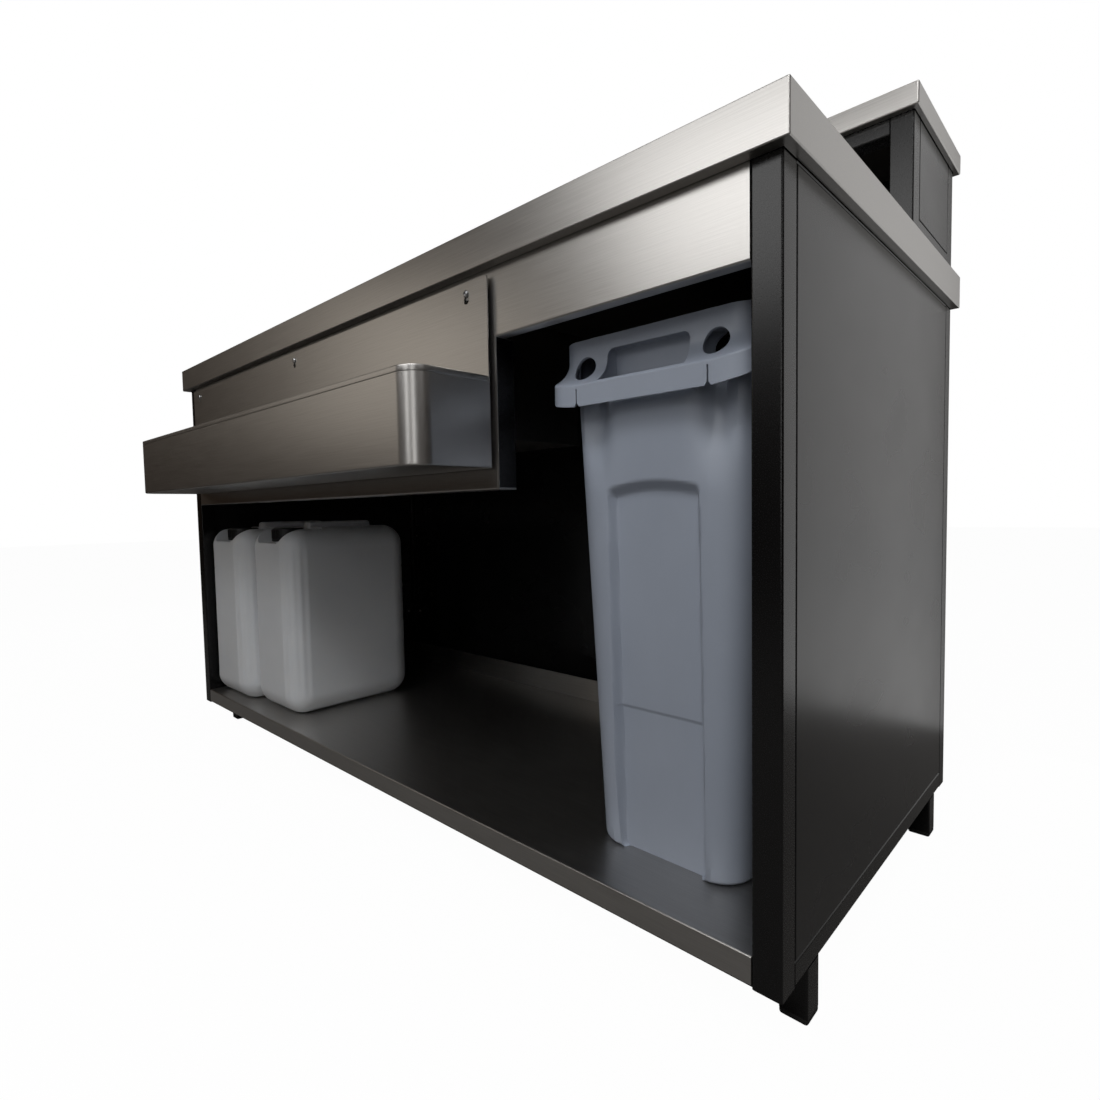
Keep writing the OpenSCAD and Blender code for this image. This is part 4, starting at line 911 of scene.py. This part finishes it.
stage = {
    "size": 30, "floorHex": "#7d7b79", "whiteShare": 0.98, "roomHex": "#5f4c3c", "roomGlow": 0.16,
}
bm = bmesh.new()
bmesh.ops.create_grid(bm, x_segments=1, y_segments=1, size=stage["size"] / 2)
floorMesh = bpy.data.meshes.new("floor")
bm.to_mesh(floorMesh)
bm.free()
floorPiece = bpy.data.objects.new("floor", floorMesh)
bpy.context.scene.collection.objects.link(floorPiece)
floorPiece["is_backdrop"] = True


def seenByEye(tree):  # straight, or through something clear
    rays = addNode(tree, "ShaderNodeLightPath").outputs
    either = addNode(tree, "ShaderNodeMath", {"operation": "MAXIMUM"},
                     {0: rays["Is Camera Ray"], 1: rays["Is Transmission Ray"]})
    return either.outputs[0]


paper = bpy.data.materials.new("paperFloor")  # seamless paper, matt, which keeps a faint shadow
paper.use_nodes = True
tree = paper.node_tree
tree.nodes.clear()
seen = seenByEye(tree)
share = addNode(tree, "ShaderNodeMath", {"operation": "MULTIPLY", 1: stage["whiteShare"]},
                {0: seen})
colour = addNode(tree, "ShaderNodeMix",
                 {"data_type": "RGBA", 6: linear(stage["floorHex"]), 7: (1, 1, 1, 1)}, {0: seen})
matt = addNode(tree, "ShaderNodeBsdfDiffuse", links={"Color": colour.outputs[2]})
white = addNode(tree, "ShaderNodeEmission", {"Color": (1, 1, 1, 1), "Strength": 1.0})
mixed = addNode(tree, "ShaderNodeMixShader",
                links={0: share.outputs[0], 1: matt.outputs[0], 2: white.outputs[0]})
addNode(tree, "ShaderNodeOutputMaterial", links={0: mixed.outputs[0]})
floorMesh.materials.append(paper)

world = bpy.data.worlds.new("studio")
bpy.context.scene.world = world
world.use_nodes = True
tree = world.node_tree
tree.nodes.clear()
room = addNode(tree, "ShaderNodeBackground",
               {"Color": linear(stage["roomHex"]), "Strength": stage["roomGlow"]})
white = addNode(tree, "ShaderNodeBackground", {"Color": (1, 1, 1, 1), "Strength": 1.0})
mixed = addNode(tree, "ShaderNodeMixShader",
                links={0: seenByEye(tree), 1: room.outputs[0], 2: white.outputs[0]})
addNode(tree, "ShaderNodeOutputWorld", links={0: mixed.outputs[0]})

# Each lamp is a soft rectangle, placed in metres. Its glow is its radiance; its watts follow from
# its area.
lamps = {
    "lowKey": {"place": (0.1, -1.75, 1.55), "aim": (0.2, -0.3, 0.88),
               "size": (1.2, 0.66), "glow": 2.5},
    "highKey": {"place": (1.3, -1.95, 2.95), "aim": (0.35, -0.2, 0.55),
                "size": (1.5, 0.9), "glow": 9.0},
    "farCard": {"place": (-3.2, 0.35, 1.5), "aim": (-0.2, -0.3, 0.7),
                "size": (1.1, 1.3), "glow": 1.8},
    "cornerStrip": {"place": (0.75, -2.6, 1.0), "aim": (0.36, -0.39, 0.63),
                    "size": (0.3, 1.2), "glow": 2.4},
    "edgeStrip": {"place": (1.75, -2.1, 1.0), "aim": (0.36, -0.39, 0.63),
                  "size": (0.35, 1.2), "glow": 2.4},
    "leftCard": {"place": (-2.45, -2.3, 1.45), "aim": (0.2, -0.3, 0.75),
                 "size": (1.2, 1.0), "glow": 0.8, "tint": (1.0, 0.92, 0.82)},
    "rightCard": {"place": (2.8, -0.9, 2.0), "aim": (0.7, -0.2, 0.85),
                  "size": (0.8, 1.2), "glow": 0.9},
    "topSoftbox": {"place": (0.2, 0.3, 3.3), "aim": (0.2, 0.3, 0.0),
                   "size": (3.0, 2.4), "glow": 1.0},
    "rearCard": {"place": (1.2, 0.8, 1.11), "aim": (1.2, 0.0, 1.11),
                 "size": (0.74, 2.2), "glow": 0.66},
}
for name, lamp in lamps.items():
    light = bpy.data.lights.new(name, "AREA")
    light.shape, (light.size, light.size_y) = "RECTANGLE", lamp["size"]
    light.color = lamp.get("tint", (1, 1, 1))
    light.energy = lamp["glow"] * math.pi * light.size * light.size_y
    holder = bpy.data.objects.new(name, light)
    holder.visible_camera = False  # it lights and is mirrored, but stays out of the picture
    aim = (Vector(lamp["aim"]) - Vector(lamp["place"])).to_track_quat("-Z", "Y")
    holder.matrix_world = Matrix.Translation(lamp["place"]) @ aim.to_matrix().to_4x4()
    bpy.context.scene.collection.objects.link(holder)
bpy.context.scene.view_settings.view_transform = "Standard"
print("stage and lamps set")

bpy.context.view_layer.update()
low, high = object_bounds()
